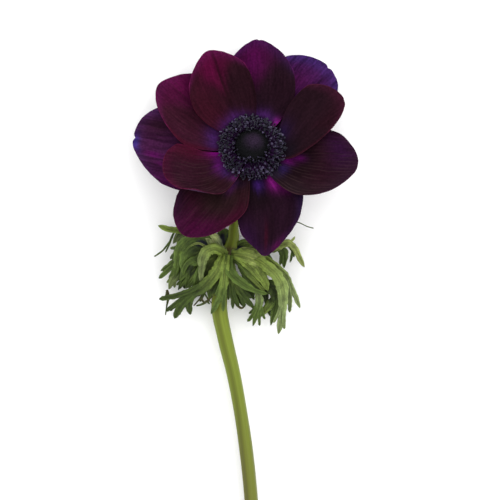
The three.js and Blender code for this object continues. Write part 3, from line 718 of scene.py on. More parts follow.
STEM_LINE = [
    # x, y, z, radius
    (2.0, -209.0, 2.5, 2.4),
    (2.2, -190.0, 3.2, 2.4),
    (1.1, -160.0, 4.3, 2.4),
    (-0.45, -133.4, 5.3, 2.55),
    (-2.25, -115.9, 6.0, 2.55),
    (-4.35, -101.4, 6.6, 2.5),
    (-7.05, -86.8, 7.2, 2.6),
    (-10.45, -72.6, 7.8, 2.8),
    (-12.6, -60.8, 8.3, 3.0),
    (-11.5, -50.0, 8.8, 3.0),
    (-8.5, -39.8, 8.9, 2.9),
    (-7.3, -34.5, 8.4, 2.3),
    (-6.9, -28.5, 7.8, 1.75),
    (-5.0, -20.5, 6.0, 1.8),
    (-3.1, -13.6, 4.7, 2.1),
    (-1.5, -8.4, 4.4, 2.0),
    (-0.5, -4.9, 5.8, 2.0),
    (-0.1, -2.9, 8.4, 2.0),
]
STEM_GRAIN = 220  # how far "grain" counts from the cut end to the receptacle, about one to the mm
STEM_RIBS = 9
RIB_HEIGHT = 0.035  # as a share of the stem's radius, as the next two are
LUMP_HEIGHT = 0.03
GROOVE_DEPTH = 0.10
GROOVE_WIDTH = 0.2  # in radians, as the next are
GROOVE_TURN = (-2.25, -1.92)  # near the cut end and above it

# The receptacle's radius at heights along the bloom's axis, from where the stem joins it.
RECEPTACLE = [
    (2.1, -5.5), (2.4, -4.4), (3.2, -3.0), (4.0, -1.6),
    (RECEPTACLE_R, -0.4), (RECEPTACLE_R, 3.6), (3.9, 3.6),
]


def stem_rings(steps):
    """The stem's cross sections from the cut end to the top of the receptacle: each one's middle,
    the directions across and up it, its radius and its place along the stem."""
    joint_r, joint_height = RECEPTACLE[0]
    line = [Vector(row[:3]) for row in STEM_LINE] + [in_bloom(0, 0, joint_height)]
    radii = [row[3] for row in STEM_LINE] + [joint_r]
    spans = len(STEM_LINE)
    side = Vector((1, 0, 0))
    rings = []
    for i in range(steps + 1):
        t = i / steps
        centre = spline(line, t)
        along = (spline(line, min(t + 0.002, 1)) - spline(line, max(t - 0.002, 0))).normalized()
        side = (side - along * side.dot(along)).normalized()
        k = min(int(t * spans), spans - 1)
        radius = radii[k] + (radii[k + 1] - radii[k]) * smooth(0, 1, t * spans - k)
        rings.append((centre, side, side.cross(along), radius, t * STEM_GRAIN))
    for radius, height in RECEPTACLE[1:]:
        rings.append((in_bloom(0, 0, height), Vector((1, 0, 0)), -FACE_UP, radius, STEM_GRAIN + height))
    return rings


def build_stem(sides=28, steps=230):
    """One tube from the cut end to the receptacle, with the faint ribs of a grown stem."""
    rings = stem_rings(steps)
    bm = bmesh.new()
    grain = bm.verts.layers.float_vector.new("grain")
    bmesh.ops.create_cone(bm, cap_ends=True, segments=sides, radius1=1, radius2=1, depth=2)
    uprights = [e for e in bm.edges if abs(e.verts[0].co.z - e.verts[1].co.z) > 1]
    bmesh.ops.subdivide_edges(bm, edges=uprights, cuts=len(rings) - 2)
    for vert in bm.verts:
        centre, across, up, radius, length = rings[round((vert.co.z + 1) / 2 * (len(rings) - 1))]
        a = math.atan2(vert.co.y, vert.co.x)
        ribs = RIB_HEIGHT * math.cos(STEM_RIBS * a + 0.4)
        ribs += LUMP_HEIGHT * wander(math.cos(a) * 1.5, math.sin(a) * 1.5, length * 0.05)
        # A groove runs along the upper side, winding a little to the left towards the cut end.
        from_groove = a - mix(*GROOVE_TURN, smooth(45, 65, length))
        from_groove = (from_groove + math.pi) % (2 * math.pi) - math.pi
        groove = GROOVE_DEPTH * math.exp(-((from_groove / GROOVE_WIDTH) ** 2))
        size = radius * (1 + (ribs - groove) * smooth(218, 200, length))
        vert[grain] = Vector((from_groove, length, 0))
        vert.co = place(centre + across * (size * math.cos(a)) - up * (size * math.sin(a)))
    bmesh.ops.recalc_face_normals(bm, faces=bm.faces)
    for edge in bm.edges:
        if edge.calc_face_angle(0) > 1.0:
            edge.smooth = False
    finish_piece("smooth_stem", bm, [stem_skin()], ["stem"])


def stem_skin():
    """A fresh green stem: waxy skin over watery tissue, yellow-green, browner on one flank of its
    dark groove, and blushed brown where the bracts sit."""
    material, tree = new_material("stem_fresh_green")
    grain = node(tree, "Attribute", {}, attribute_name="grain")["Vector"]
    place_on = node(tree, "SeparateXYZ", {0: grain})
    # Fibres run along the stem, about 0.4 mm apart.
    fibres = node(tree, "Mapping", {"Vector": grain, "Scale": (6, 0.05, 1)})[0]
    fibres = node(tree, "TexNoise", {"Vector": fibres, "Scale": 1, "Detail": 3})[0]
    colour = node(tree, "Mix", {0: fibres, 6: tone("#596514"), 7: tone("#788822")}, data_type="RGBA")[2]
    # Towards the cut end the skin is duller, most of all on the left of the groove.
    low = node(
        tree, "MapRange", {0: place_on[1], 1: 80, 2: 32, 3: 0.08, 4: 1}, interpolation_type="SMOOTHSTEP"
    )[0]
    flank = node(
        tree, "MapRange",
        {0: place_on[0], 1: 1.2, 2: -0.3, 3: 0.45, 4: 0.75},
        interpolation_type="SMOOTHSTEP",
    )[0]
    flank = node(tree, "Math", {0: flank, 1: low}, operation="MULTIPLY")[0]
    colour = node(tree, "Mix", {0: flank, 6: colour, 7: tone("#574e23")}, data_type="RGBA")[2]
    # The groove is a dark, soft line about 1.5 mm wide, and ends at the bracts.
    groove = node(tree, "Math", {0: place_on[0]}, operation="ABSOLUTE")[0]
    groove = node(
        tree, "MapRange", {0: groove, 1: 0.6, 2: 0.04, 3: 0, 4: 0.45}, interpolation_type="SMOOTHSTEP"
    )[0]
    below = node(tree, "MapRange", {0: place_on[1], 1: 165, 2: 150, 3: 0, 4: 1})[0]
    groove = node(tree, "Math", {0: groove, 1: below}, operation="MULTIPLY")[0]
    colour = node(tree, "Mix", {0: groove, 6: colour, 7: tone("#403f17")}, data_type="RGBA")[2]
    # A brown blush rings the stalk's foot, just above the bracts.
    spot = node(tree, "TexCoord", {})["Object"]
    blush = node(
        tree, "VectorMath", {0: spot, 1: place(Vector((-8.4, -40.6, 12)))}, operation="DISTANCE"
    )[1]
    blush = node(
        tree, "MapRange",
        {0: blush, 1: 4.2 * MM, 2: 2.0 * MM, 3: 0, 4: 0.8},
        interpolation_type="SMOOTHSTEP",
    )[0]
    colour = node(tree, "Mix", {0: blush, 6: colour, 7: tone("#45301e")}, data_type="RGBA")[2]
    shader = node(
        tree, "BsdfPrincipled", {"Base Color": colour, "Roughness": 0.45, "Specular IOR Level": 0.25}
    )
    node(tree, "OutputMaterial", {"Surface": shader[0]})
    return material


# ------------------------------------------------------------------------------ the bracts

NODE = Vector((-9.3, -41.5, 8.9))
NODE_AXIS = Vector((0.22, 0.975, 0)).normalized()
SHEATH_R = 3.7
TABLE_CLEARANCE = 0.05
LEAF_THICKNESS = 0.3
EDGE_RAGGED = 0.24  # how far a lobe's edge wanders, as a share of its width
RAGGED_EVERY = 1.5
ARCH = 0.17  # how high each half of a lobe arches, as a share of its width
MIDRIB_SUNK = 0.22

# The greens of a lobe, from its foot to its tip: partly the tissue's own greens and partly painted
# light and shade. "deep" is painted shade on lobes that lie low under others, "light" is painted light
# on the lobe that lies under the petals, and "grey" is partly painted light where a high lobe catches it.
LEAF_GREENS_AND_PAINTED_LIGHT = {
    "fresh": "#728538",
    "mid": "#4d6126",
    "deep": "#3b4c1a",
    "pale": "#8d9a54",
    "light": "#b3c27a",
    "grey": "#6a7846",
    "soft": "#7c8d56",
    "dry": "#514e2c",
}

# The lobes of each bract. For each: the places that its middle passes; its half width at its foot,
# at its broadest and near its tip; how far its edges curl up, or down where negative; its tones at
# the foot and tip; and its fingers, each with where on the lobe it starts (along, and across from
# -1 right to 1 left), its tip and its half width.
LEFT_LOBES = [
    ([(-10.7, -39.9, 12), (-13, -37.6, 14), (-15.3, -34.6, 14.5), (-17.9, -31.9, 14), (-21.4, -30.4, 13)],
     (1.8, 2.9, 2.2), -0.3, ("light", "light"), []),
    ([(-11.5, -39.5, 12), (-15.3, -36.5, 14), (-18.7, -34, 15), (-22.5, -34.2, 15.5), (-25.8, -36.5, 15),
     (-27.9, -39.9, 14), (-28.5, -43.3, 12.5), (-29.1, -46.4, 10.5), (-29.7, -49.1, 9)], (1.8, 2.5, 1.3),
     -0.35, ("mid", "mid"), [(0.62, -1, (-31.4, -38, 10), 0.6), (0.66, -1, (-31.4, -42.2, 9), 0.7),
     (0.9, -1, (-31.9, -49.9, 8), 0.6)]),
    ([(-26.4, -39.9, 12), (-29.3, -43, 11), (-32, -45, 9.5), (-35.1, -46.8, 8)], (1.5, 1.5, 0.8), -0.3,
     ("mid", "mid"), [(0.45, 1, (-35.8, -49.7, 7.5), 0.8), (0.6, 1, (-33.4, -48.4, 8), 0.5)]),
    ([(-25.3, -44.1, 10), (-28.4, -47.6, 9.5), (-30.7, -50.7, 8.5), (-31.9, -53.9, 7.5)], (1.4, 1.7, 0.9),
     -0.2, ("deep", "grey"), [(0.5, -1, (-32.8, -51.4, 7.5), 0.4), (0.6, 1, (-29.7, -53.3, 8), 0.5)]),
    ([(-20.7, -45.7, 10), (-23.8, -48.3, 10), (-26.1, -50.6, 9.5), (-28.4, -54.1, 8)], (1.7, 2.3, 0.9),
     -0.2, ("mid", "deep"), [(0.6, 1, (-26.1, -53.7, 8.5), 0.6), (0.5, 1, (-24.2, -52.6, 9), 0.7),
     (0.7, -1, (-29, -52.2, 8.5), 0.5)]),
    ([(-15.3, -39.1, 12.5), (-18.7, -39, 13.5), (-22, -40.3, 14), (-24.3, -43, 13.5), (-25.4, -46.4, 12),
     (-27.6, -50.6, 10)], (2.2, 4.7, 2), 0.2, ("mid", "mid"), [(0.75, 1, (-24.9, -50.6, 11), 0.7)]),
    ([(-15.7, -38.6, 14), (-17.7, -37.5, 16.5), (-20.2, -36.2, 17.6), (-22.9, -36.9, 17.2),
     (-24.8, -38.6, 16.2), (-25.8, -41, 15)], (0.5, 0.42, 0.3), -0.3, ("pale", "mid"), []),
    ([(-17.6, -39.9, 14.6), (-20.6, -41.6, 15), (-23.7, -43, 14.9), (-25.6, -45.3, 14),
     (-26.6, -48.7, 12.5)], (1, 1.2, 0.9), -0.4, ("mid", "mid"), []),
    ([(-19.1, -42.6, 12.5), (-22.2, -45.3, 11.8), (-23.7, -47.9, 11.4), (-24.9, -50.6, 11)],
     (1.5, 1.9, 1.1), 0.2, ("deep", "deep"), []),
    ([(-18.1, -43.3, 14), (-19.7, -46.4, 14), (-20.8, -49.5, 13), (-21.6, -52.5, 11.5),
     (-23.4, -55.6, 10.3)], (1.2, 1.8, 1.2), -0.3, ("mid", "mid"), [(0.6, -1, (-25.1, -53.3, 10), 0.6)]),
    ([(-20.3, -44.9, 12), (-22.4, -47.6, 12), (-24.3, -50.2, 11), (-25.3, -53.7, 9.5)], (1.4, 1.7, 0.9),
     -0.3, ("fresh", "mid"), [(0.7, -1, (-27.6, -53.1, 9), 0.6)]),
    ([(-10.1, -40.9, 13), (-12.2, -39, 16.5), (-14.8, -38.2, 19), (-17.3, -39.5, 20),
     (-18.6, -41.8, 19.5), (-19.1, -44.9, 18), (-19.3, -47.9, 16), (-19.5, -51.6, 14)], (1.9, 2.3, 1.1),
     -0.45, ("fresh", "grey"), []),
    ([(-12.6, -41.1, 11.5), (-15.3, -43.4, 12), (-17.2, -46.4, 12), (-18.4, -50.2, 11.5),
     (-18.8, -53.3, 11)], (1.8, 2.8, 1.6), 0.2, ("fresh", "mid"), []),
    ([(-12.6, -46.4, 12.6), (-14.1, -50.2, 12.6), (-15.5, -53.7, 12), (-16.5, -57.5, 11)],
     (1.5, 2.8, 1.5), 0.2, ("mid", "mid"), []),
    ([(-10.7, -40.5, 14), (-12.2, -43.3, 16.5), (-13.2, -46.4, 17.5), (-15.4, -49.6, 17),
     (-18.7, -52.9, 15.5), (-22.7, -55.2, 13.5), (-26.4, -57.1, 12)], (1.6, 2.35, 2), -0.35,
     ("fresh", "deep"), [(0.78, -1, (-35.7, -57.6, 8.5), 0.95), (0.88, -0.4, (-33.2, -62.4, 7), 0.75),
     (0.92, 0.3, (-29.8, -65.1, 7), 1.3), (0.93, 1, (-23.6, -63.6, 8.5), 1.15),
     (0.9, -0.1, (-31.5, -62.2, 7.5), 0.5)]),
    ([(-16.8, -51.8, 13), (-20.6, -54.2, 12.5), (-24.1, -56.8, 11), (-27.2, -59.5, 10)], (1.5, 1.8, 1.1),
     -0.2, ("mid", "deep"), []),
    ([(-9.7, -40.5, 14.5), (-10.2, -44.5, 16.8), (-10.6, -49.8, 17), (-11.4, -54.8, 15.7),
     (-13.4, -59, 14), (-15.7, -63.2, 12.5)], (1.6, 1.75, 1.1), -0.35, ("fresh", "mid"),
     [(0.62, 1, (-11, -62.3, 12.8), 0.7), (0.5, -1, (-14.1, -56.3, 14), 0.6)]),
    ([(-17.2, -53.3, 12), (-19.1, -56.4, 11), (-20.7, -58.3, 10), (-22.4, -60.2, 9)], (0.4, 0.35, 0.25),
     0, ("mid", "dry"), [(0.5, 1, (-18, -59.1, 9.5), 0.3), (0.3, -1, (-21.8, -56.4, 10), 0.25)]),
    ([(-15.3, -56.4, 11.5), (-17.2, -58.3, 10.5), (-19.5, -59.7, 9.5), (-21.5, -60.2, 9)],
     (0.4, 0.45, 0.3), 0, ("dry", "mid"), [(0.4, 1, (-16.1, -59.5, 10), 0.3)]),
    ([(-18.8, -54.1, 11), (-17.8, -56, 10.5), (-16.9, -57.5, 10), (-15.5, -59.1, 9.5)], (0.3, 0.3, 0.2),
     0, ("mid", "dry"), []),
    ([(-32.6, -54.1, 8), (-32.1, -56.8, 7), (-32.7, -59.9, 6.5), (-33.3, -63.8, 5.5)], (0.5, 0.45, 0.2),
     0, ("dry", "mid"), [(0.15, -1, (-34, -57.6, 6), 0.25)]),
]
RIGHT_LOBES = [
    ([(-8, -40.3, 13.2), (-5, -40.7, 16.2), (-1.5, -41.4, 17.8), (1.9, -42.8, 18), (5, -44.9, 17),
     (7.3, -47.5, 15.5)], (2, 3.1, 2.6), -0.45, ("fresh", "pale"), []),
    ([(-6.1, -39.7, 13), (-3, -39.3, 15.5), (0, -39.7, 16.5), (3.1, -41, 16.5), (5.7, -43.3, 15.5)],
     (1.4, 1.8, 1.5), -0.4, ("pale", "fresh"), []),
    ([(-6.1, -41.1, 14.5), (-3.2, -43.1, 17), (-0.4, -45.6, 17.8), (2.1, -48.5, 17.2), (4.2, -51.3, 16),
     (5.5, -54, 14.7)], (1.5, 1.6, 0.8), -0.6, ("fresh", "fresh"), []),
    ([(-6.9, -41.6, 14), (-4.2, -44.1, 16), (-1.9, -47, 16.8), (0.4, -49.8, 16.2), (2.7, -52.4, 15.3),
     (4.8, -54.4, 14.4)], (1.3, 1.4, 0.7), -0.6, ("mid", "fresh"), []),
    ([(-6.7, -41.4, 13.4), (-4.1, -44.3, 15), (-2.5, -47.2, 15.6), (-1, -50.2, 15.3), (1.3, -52.7, 14.8),
     (3.8, -54.4, 14.2)], (1.2, 2, 0.8), -0.5, ("mid", "mid"), []),
    ([(-1.5, -41.8, 17), (1.5, -44.9, 17.6), (3.8, -48.3, 16.8), (5.3, -51.3, 15.6), (6.1, -54.4, 14.4)],
     (1.6, 1.9, 1), -0.4, ("fresh", "fresh"), []),
    ([(0.4, -41.8, 17.5), (3.8, -43.5, 19), (6.8, -46, 19.2), (9.7, -49, 18.4), (11.4, -52.5, 17),
     (12, -57.1, 15), (11.6, -62.1, 12.6), (11, -66.3, 10.6), (10.1, -71.1, 9)], (1.8, 2.4, 1.25), -0.4,
     ("fresh", "soft"), [(0.82, 1, (12.4, -69.2, 9.6), 0.65), (0.76, -1, (8.2, -66.7, 10.2), 0.55)]),
    ([(3.8, -41.4, 14), (6.9, -43.3, 15.5), (10.3, -45.8, 15.5), (13, -48.5, 14.5), (14.6, -52.1, 13),
     (16.5, -56.2, 11), (18.4, -61.1, 9)], (1.5, 1.2, 0.95), -0.3, ("fresh", "soft"),
     [(0.66, -1, (14.4, -62.7, 9.5), 0.75)]),
    ([(-8.6, -40.7, 14), (-8.8, -44.1, 16), (-8, -47.5, 17.2), (-5.1, -50.3, 17.5), (-1.5, -52.9, 17.3),
     (2.3, -54.6, 16.3), (6, -55.5, 15.2)], (1.6, 2, 0.7), 0.8, ("mid", "mid"), []),
    ([(-8, -41.8, 12.5), (-8, -45.6, 13.2), (-7.1, -49.8, 13.2), (-5, -54.1, 12.8), (-2.1, -57.7, 11.8),
     (1, -61.4, 10.2)], (1.6, 1.8, 1), -0.3, ("fresh", "deep"), [(0.7, 1, (0, -57.1, 11.5), 0.9),
     (0.72, -1, (-2.7, -60.6, 11), 0.7)]),
    ([(-7.6, -47.2, 11.5), (-6.9, -51.8, 11.5), (-5.4, -56, 11), (-3.4, -60.4, 10)], (1.3, 1.6, 0.9),
     -0.2, ("mid", "deep"), []),
    ([(-5.4, -50.6, 10.5), (-2.7, -52.9, 10.5), (-0.4, -55.2, 10), (0.8, -57.9, 9.5)], (1.5, 2, 1), 0.2,
     ("mid", "mid"), []),
    ([(-9, -41.4, 13), (-8.8, -46.4, 14.4), (-8.4, -51.4, 14), (-7.6, -56, 12.6), (-7.3, -61.3, 11)],
     (1.5, 1.5, 0.7), -0.3, ("fresh", "deep"), [(0.62, 1, (-5, -60.5, 11), 0.65),
     (0.5, -1, (-9, -57.9, 12), 0.5)]),
    ([(-6.9, -58.3, 10.5), (-5.4, -60.2, 10), (-3.8, -61, 9.5), (-2.3, -59.5, 9.5)], (0.35, 0.45, 0.3), 0,
     ("dry", "dry"), []),
    ([(1.2, -52.5, 12.5), (2.5, -55.6, 13), (2.8, -59, 12.4), (1.9, -62.5, 10.6), (0.3, -68, 8)],
     (1.2, 1.5, 0.9), -0.3, ("soft", "mid"), [(0.5, -1, (-1.3, -63.3, 8), 0.45),
     (0.62, -1, (-1.8, -66.3, 7.5), 0.65), (0.66, 1, (2.9, -67.9, 7.5), 0.5),
     (0.6, 1, (5, -65.4, 8.5), 0.5)]),
    ([(8.8, -56.4, 9.8), (7.3, -59.1, 10), (5, -61.8, 9.6), (2.7, -64.8, 8.6)], (1, 1.7, 0.9), -0.3,
     ("mid", "fresh"), []),
    ([(3.1, -50.6, 11), (6.1, -52, 12.2), (8.8, -54.1, 12), (9.6, -57.5, 10.6), (8.6, -61.8, 8.8),
     (7.2, -67.7, 6.8)], (1.6, 2.8, 1), 0.5, ("deep", "mid"), [(0.62, -1, (6.3, -61.4, 8), 0.8),
     (0.74, 1, (8.8, -64.5, 7.5), 0.5)]),
    ([(-6.1, -38.8, 9.5), (-3.8, -36.7, 10.5), (-1.1, -36.3, 10.8), (1.9, -37.2, 10.5)], (1.7, 1.9, 1.4),
     -0.2, ("mid", "fresh"), []),
    ([(1.9, -38.8, 8.5), (5, -40.5, 9.3), (7.2, -43.6, 9), (9, -47.2, 7.5)], (1.6, 1.4, 0.7), -0.2,
     ("deep", "deep"), []),
]
BACK_LOBES = [
    ([(-10, -38.8, 6), (-14.6, -36.1, 5.5), (-19.2, -33.4, 5), (-23.8, -31.5, 6), (-27.6, -31.2, 8.5),
     (-31.8, -30.8, 9.3), (-36, -29.4, 9.5)], (1.5, 1.5, 1.1), -0.2, ("mid", "fresh"), []),
    ([(-14.2, -35.3, 5), (-18.8, -32.6, 6.5), (-23.4, -31.7, 7.5), (-27.4, -32.8, 7.5),
     (-30.4, -36.3, 6.5)], (2, 3.3, 1.5), -0.3, ("mid", "grey"), [(0.8, 1, (-28.4, -37.6, 6), 0.8)]),
    ([(-29.9, -31.8, 7.5), (-30.9, -34.1, 6.8), (-31.9, -36.8, 6.2), (-33.3, -39.7, 5)], (0.4, 0.42, 0.3),
     0, ("mid", "mid"), [(0.62, -1, (-37.7, -41.3, 5), 0.28)]),
    ([(-10, -38.8, 8), (-10.5, -35.3, 8.8), (-11.3, -31.9, 8.5), (-13.4, -28.8, 7.5)], (1.8, 3, 1.6), 0.2,
     ("mid", "mid"), []),
    ([(-10.4, -40.3, 5), (-14.6, -41.1, 3.9), (-19.3, -42.6, 2.8), (-23.9, -45.7, 2.2),
     (-28.5, -49.6, 1.5), (-31.7, -52.7, 0.9)], (1.6, 2.2, 0.8), -0.2, ("deep", "deep"),
     [(0.6, 1, (-26.2, -53.4, 1.2), 0.8)]),
    ([(-10, -41.1, 4.8), (-12.3, -44.9, 3.2), (-15.8, -49.2, 2.1), (-20.1, -53.8, 1.5),
     (-24.3, -58.1, 0.8), (-27.4, -61.6, 0.4)], (1.6, 1.7, 0.8), -0.2, ("deep", "deep"),
     [(0.5, 1, (-20.1, -58.8, 0.9), 0.6)]),
    ([(-9, -41.5, 4.6), (-8.9, -44.9, 3), (-7.9, -49.2, 2), (-6.5, -53.4, 1.4), (-5.2, -58.1, 0.6)],
     (1.6, 1.5, 0.7), -0.2, ("deep", "deep"), [(0.6, 1, (-2.3, -57.3, 0.9), 0.8)]),
    ([(-7.7, -40.7, 4.8), (-3.5, -41.8, 3.6), (0.8, -44.5, 2.8), (3.5, -48.4, 2.2), (5, -53.4, 1.6),
     (5.8, -58.8, 0.9), (7, -64.3, 0.4)], (1.6, 1.8, 0.8), -0.2, ("deep", "deep"),
     [(0.7, -1, (2.3, -60, 1.2), 0.8)]),
    ([(-7.3, -39.9, 5.2), (-1.9, -39.9, 4.4), (2.7, -41.8, 3.8), (5.8, -44.5, 3.4)], (1.6, 1.6, 1), -0.2,
     ("deep", "deep"), []),
    ([(-6.9, -39.1, 6), (-2.7, -37.2, 6.2), (2.3, -37.4, 6.8), (7.3, -37.6, 8), (11.1, -36.7, 9.5),
     (14, -36.2, 10), (16.3, -38, 9.3), (18, -41.3, 7.8), (20.2, -45.4, 6)], (1.6, 1.6, 1.05), -0.3,
     ("fresh", "pale"), [(0.72, 1, (16.5, -33.6, 9.8), 0.4), (0.62, -1, (7.5, -39.8, 6.5), 0.55)]),
    ([(9.6, -38, 7.4), (11.7, -39.1, 7), (12.4, -41.8, 6), (12.3, -45.8, 4.6)], (1, 1.8, 1.3), -0.3,
     ("mid", "mid"), [(0.6, -1, (10.7, -44.5, 5), 0.7)]),
    ([(14.2, -37.2, 8.6), (15.4, -38.7, 7.8), (15.3, -41.1, 6.4), (14.6, -43.6, 5.2)], (0.7, 0.6, 0.4), 0,
     ("mid", "mid"), [(0.3, 1, (16.1, -41.6, 6), 0.35)]),
    ([(-7.3, -39.5, 6), (-2.3, -34.9, 5.5), (6.2, -30.3, 6), (13.8, -27.6, 7), (18.4, -28.4, 8),
     (20.9, -29.6, 8.4), (23.6, -30.4, 8.6)], (0.16, 0.15, 0.1), 0, ("dry", "mid"), []),
]

# The part of the stem that each bract's sheath wraps, in degrees, and its lobes.
BRACTS = {
    "bract_left": (92, 192, LEFT_LOBES),
    "bract_right": (-28, 72, RIGHT_LOBES),
    "bract_back": (212, 312, BACK_LOBES),
}

# Painted shade: lobes are painted darker where other lobes hide the sky from them.
CROWD_PAINTED_SHADE = 0.6  # how much darker a lobe is where others hide it all round
CROWD_REACH = 20  # how far off others still hide it
LOBE_GAP = 0.6  # rays start this far off, clear of the lobe's own curl
FINGER_BOW = 0.16  # how far a finger bows along its lobe, as a share of its length
FINGER_LIFT = 0.04

# Where the tissue is painted darker: blue-black patches round the foot of the bloom's stalk, and
# painted shade, deep green, in the hollows under the lobes. Each has x, y, reach along x and y, the
# height below which it shows, and its colour.
DARK_PATCHES_AND_PAINTED_SHADE = [
    (-19.4, -36.0, 2.6, 1.3, 16.0, "#191c2a"),
    (-11.5, -35.6, 2.2, 3.4, 14.5, "#191c2a"),
    (-4.6, -38.2, 2.0, 1.0, 14.5, "#191c2a"),
    (-23.9, -38.6, 2.4, 1.5, 14.8, "#263216"),
    (-23.4, -46.4, 1.3, 2.2, 15.0, "#222d13"),
    (7.4, -55.6, 2.6, 3.4, 13.0, "#27320f"),
]


def round_stem(turn, out):
    """A point at the node, on this side of the stem."""
    right = (Vector((1, 0, 0)) - NODE_AXIS * NODE_AXIS.x).normalized()
    a = math.radians(turn)
    return NODE + (right * math.cos(a) + right.cross(NODE_AXIS) * math.sin(a)) * out


def path_length(path):
    return sum((b - a).length for a, b in zip(path, path[1:]))


def course(path, s):
    """Where a lobe's middle is at this share of its length, and its three directions there."""
    centre = spline(path, s)
    along = (spline(path, min(s + 0.01, 1)) - spline(path, max(s - 0.01, 0))).normalized()
    side = along.cross(Vector((0, 0, 1))).normalized()
    return centre, along, side, side.cross(along)


def half_width(halves, s, length):
    """A lobe swells from its foot and narrows to a blunt tip."""
    foot, broad, near_tip = halves
    body = mix(foot, broad, smooth(0, 0.4, s))
    if s >= 0.45:
        body = mix(broad, near_tip, smooth(0.45, 0.9, s))
    left = (1 - s) * length / (2.4 * near_tip)
    return body * max(min(left, 1), 0) ** 0.6 + 0.03


def add_lobe(bm, path, halves, curl, tones, seed, across=8):
    """One lobe or finger: a bent strip with a sunken midrib, arching halves and a slightly ragged
    edge. Its vertices carry their place on it, a number of its own and its tone."""
    grain = bm.verts.layers.float_vector["grain"]
    tint = bm.verts.layers.float_color["tint"]
    foot_tone, tip_tone = (Vector(tone(LEAF_GREENS_AND_PAINTED_LIGHT[name])) for name in tones)
    length = path_length(path)
    steps = max(int(length * 1.8), 8)
    made = bmesh.ops.create_grid(bm, x_segments=across, y_segments=steps, size=1)["verts"]
    for vert in made:
        x = -vert.co.x
        s = (vert.co.y + 1) / 2
        centre, _, side, up = course(path, s)
        ragged = EDGE_RAGGED * abs(x) * wander(s * length / RAGGED_EVERY, seed, math.copysign(3, x))
        width = half_width(halves, s, length) * (1 + ragged)
        bend = curl + 0.25 * wander(s * length / 6, seed, 9)
        if abs(bend) < 0.05:
            bend = 0.05
        out = math.sin(x * bend) / bend * width
        lift = (1 - math.cos(x * bend)) / bend * width
        arch = ARCH * width * math.sin(math.pi * abs(x))
        midrib = MIDRIB_SUNK * min(width, 1) * math.exp(-((x / 0.2) ** 2))
        lift += arch - midrib + 0.12 * width * wander(x * 1.5, s * length / 3, seed)
        p = centre - side * out + up * lift
        p.z = max(p.z, TABLE_CLEARANCE + LEAF_THICKNESS + 0.02)
        vert[grain] = Vector((x, s * length, seed))
        vert[tint] = mix(foot_tone, tip_tone, smooth(0.15, 0.85, s))
        vert.co = place(p)


def build_bract(name):
    """A sheath half round the stem, and the lobes that it splits into, with their fingers."""
    start, end, lobes = BRACTS[name]
    rng = random.Random(name)
    bm = bmesh.new()
    bm.verts.layers.float_vector.new("grain")
    bm.verts.layers.float_color.new("tint")
    sheath = [round_stem(start + (end - start) * i / 12, SHEATH_R) for i in range(13)]
    add_lobe(bm, sheath, (1.5, 1.5, 1.5), 0.1, ("fresh", "fresh"), 0.5)
    for path, halves, curl, tones, fingers in lobes:
        path = [Vector(p) for p in path]
        length = path_length(path)
        seed = rng.uniform(0, 90)
        add_lobe(bm, path, halves, curl, tones, seed)
        for at, across, tip, half in fingers:
            centre, along, side, up = course(path, max(at - 0.1, 0))
            root = centre - side * across * half_width(halves, at, length) * 0.45 - up * 0.1
            tip = Vector(tip)
            reach = (tip - root).length
            bow = along * FINGER_BOW * reach + Vector((0, 0, FINGER_LIFT * reach))
            finger = [root, root.lerp(tip, 0.33) + bow, root.lerp(tip, 0.7) + bow * 0.6, tip]
            halves_here = (half * 1.1, half * 1.15, half * 0.9)
            add_lobe(bm, finger, halves_here, curl * 0.5, (tones[1], tones[1]), seed + at, 6)
    return bm


def paint_bracts(bracts):
    """Paints the bracts: each lobe its own green, with painted shade where its neighbours crowd over it."""
    trees = [BVHTree.FromBMesh(bm) for bm in bracts.values()]
    skyward = [Vector((0, 0, 1))]
    for i in range(12):
        a = i * math.pi / 6
        skyward.append(Vector((math.cos(a), math.sin(a), 1.6 if i % 2 else 0.7)).normalized())
    for bm in bracts.values():
        grain = bm.verts.layers.float_vector["grain"]
        tint = bm.verts.layers.float_color["tint"]
        for vert in bm.verts:
            across, along, seed = vert[grain]
            paint = Vector(vert[tint]) * (1 + 0.15 * wander(seed * 7, 0.5, 0.5))
            # Painted shade where other lobes hide the sky.
            hidden = 0
            for way in skyward:
                start = vert.co + way * (LOBE_GAP * MM)
                hidden += any(tree.ray_cast(start, way, CROWD_REACH * MM)[0] for tree in trees)
            paint = paint * (1 - CROWD_PAINTED_SHADE * hidden / len(skyward))
            spot = (vert.co - ORIGIN) / MM
            # Dark patches, and painted shade in the hollows under the lobes.
            for x, y, wide, high, top, code in DARK_PATCHES_AND_PAINTED_SHADE:
                far = ((spot.x - x) / wide) ** 2 + ((spot.y - y) / high) ** 2
                far += 1.3 * wander(across * 5, along * 0.4, seed)
                share = smooth(1.5, 0.5, far) * smooth(top + 1, top - 1, spot.z)
                paint = mix(paint, Vector(tone(code)), share)
            vert[tint] = paint


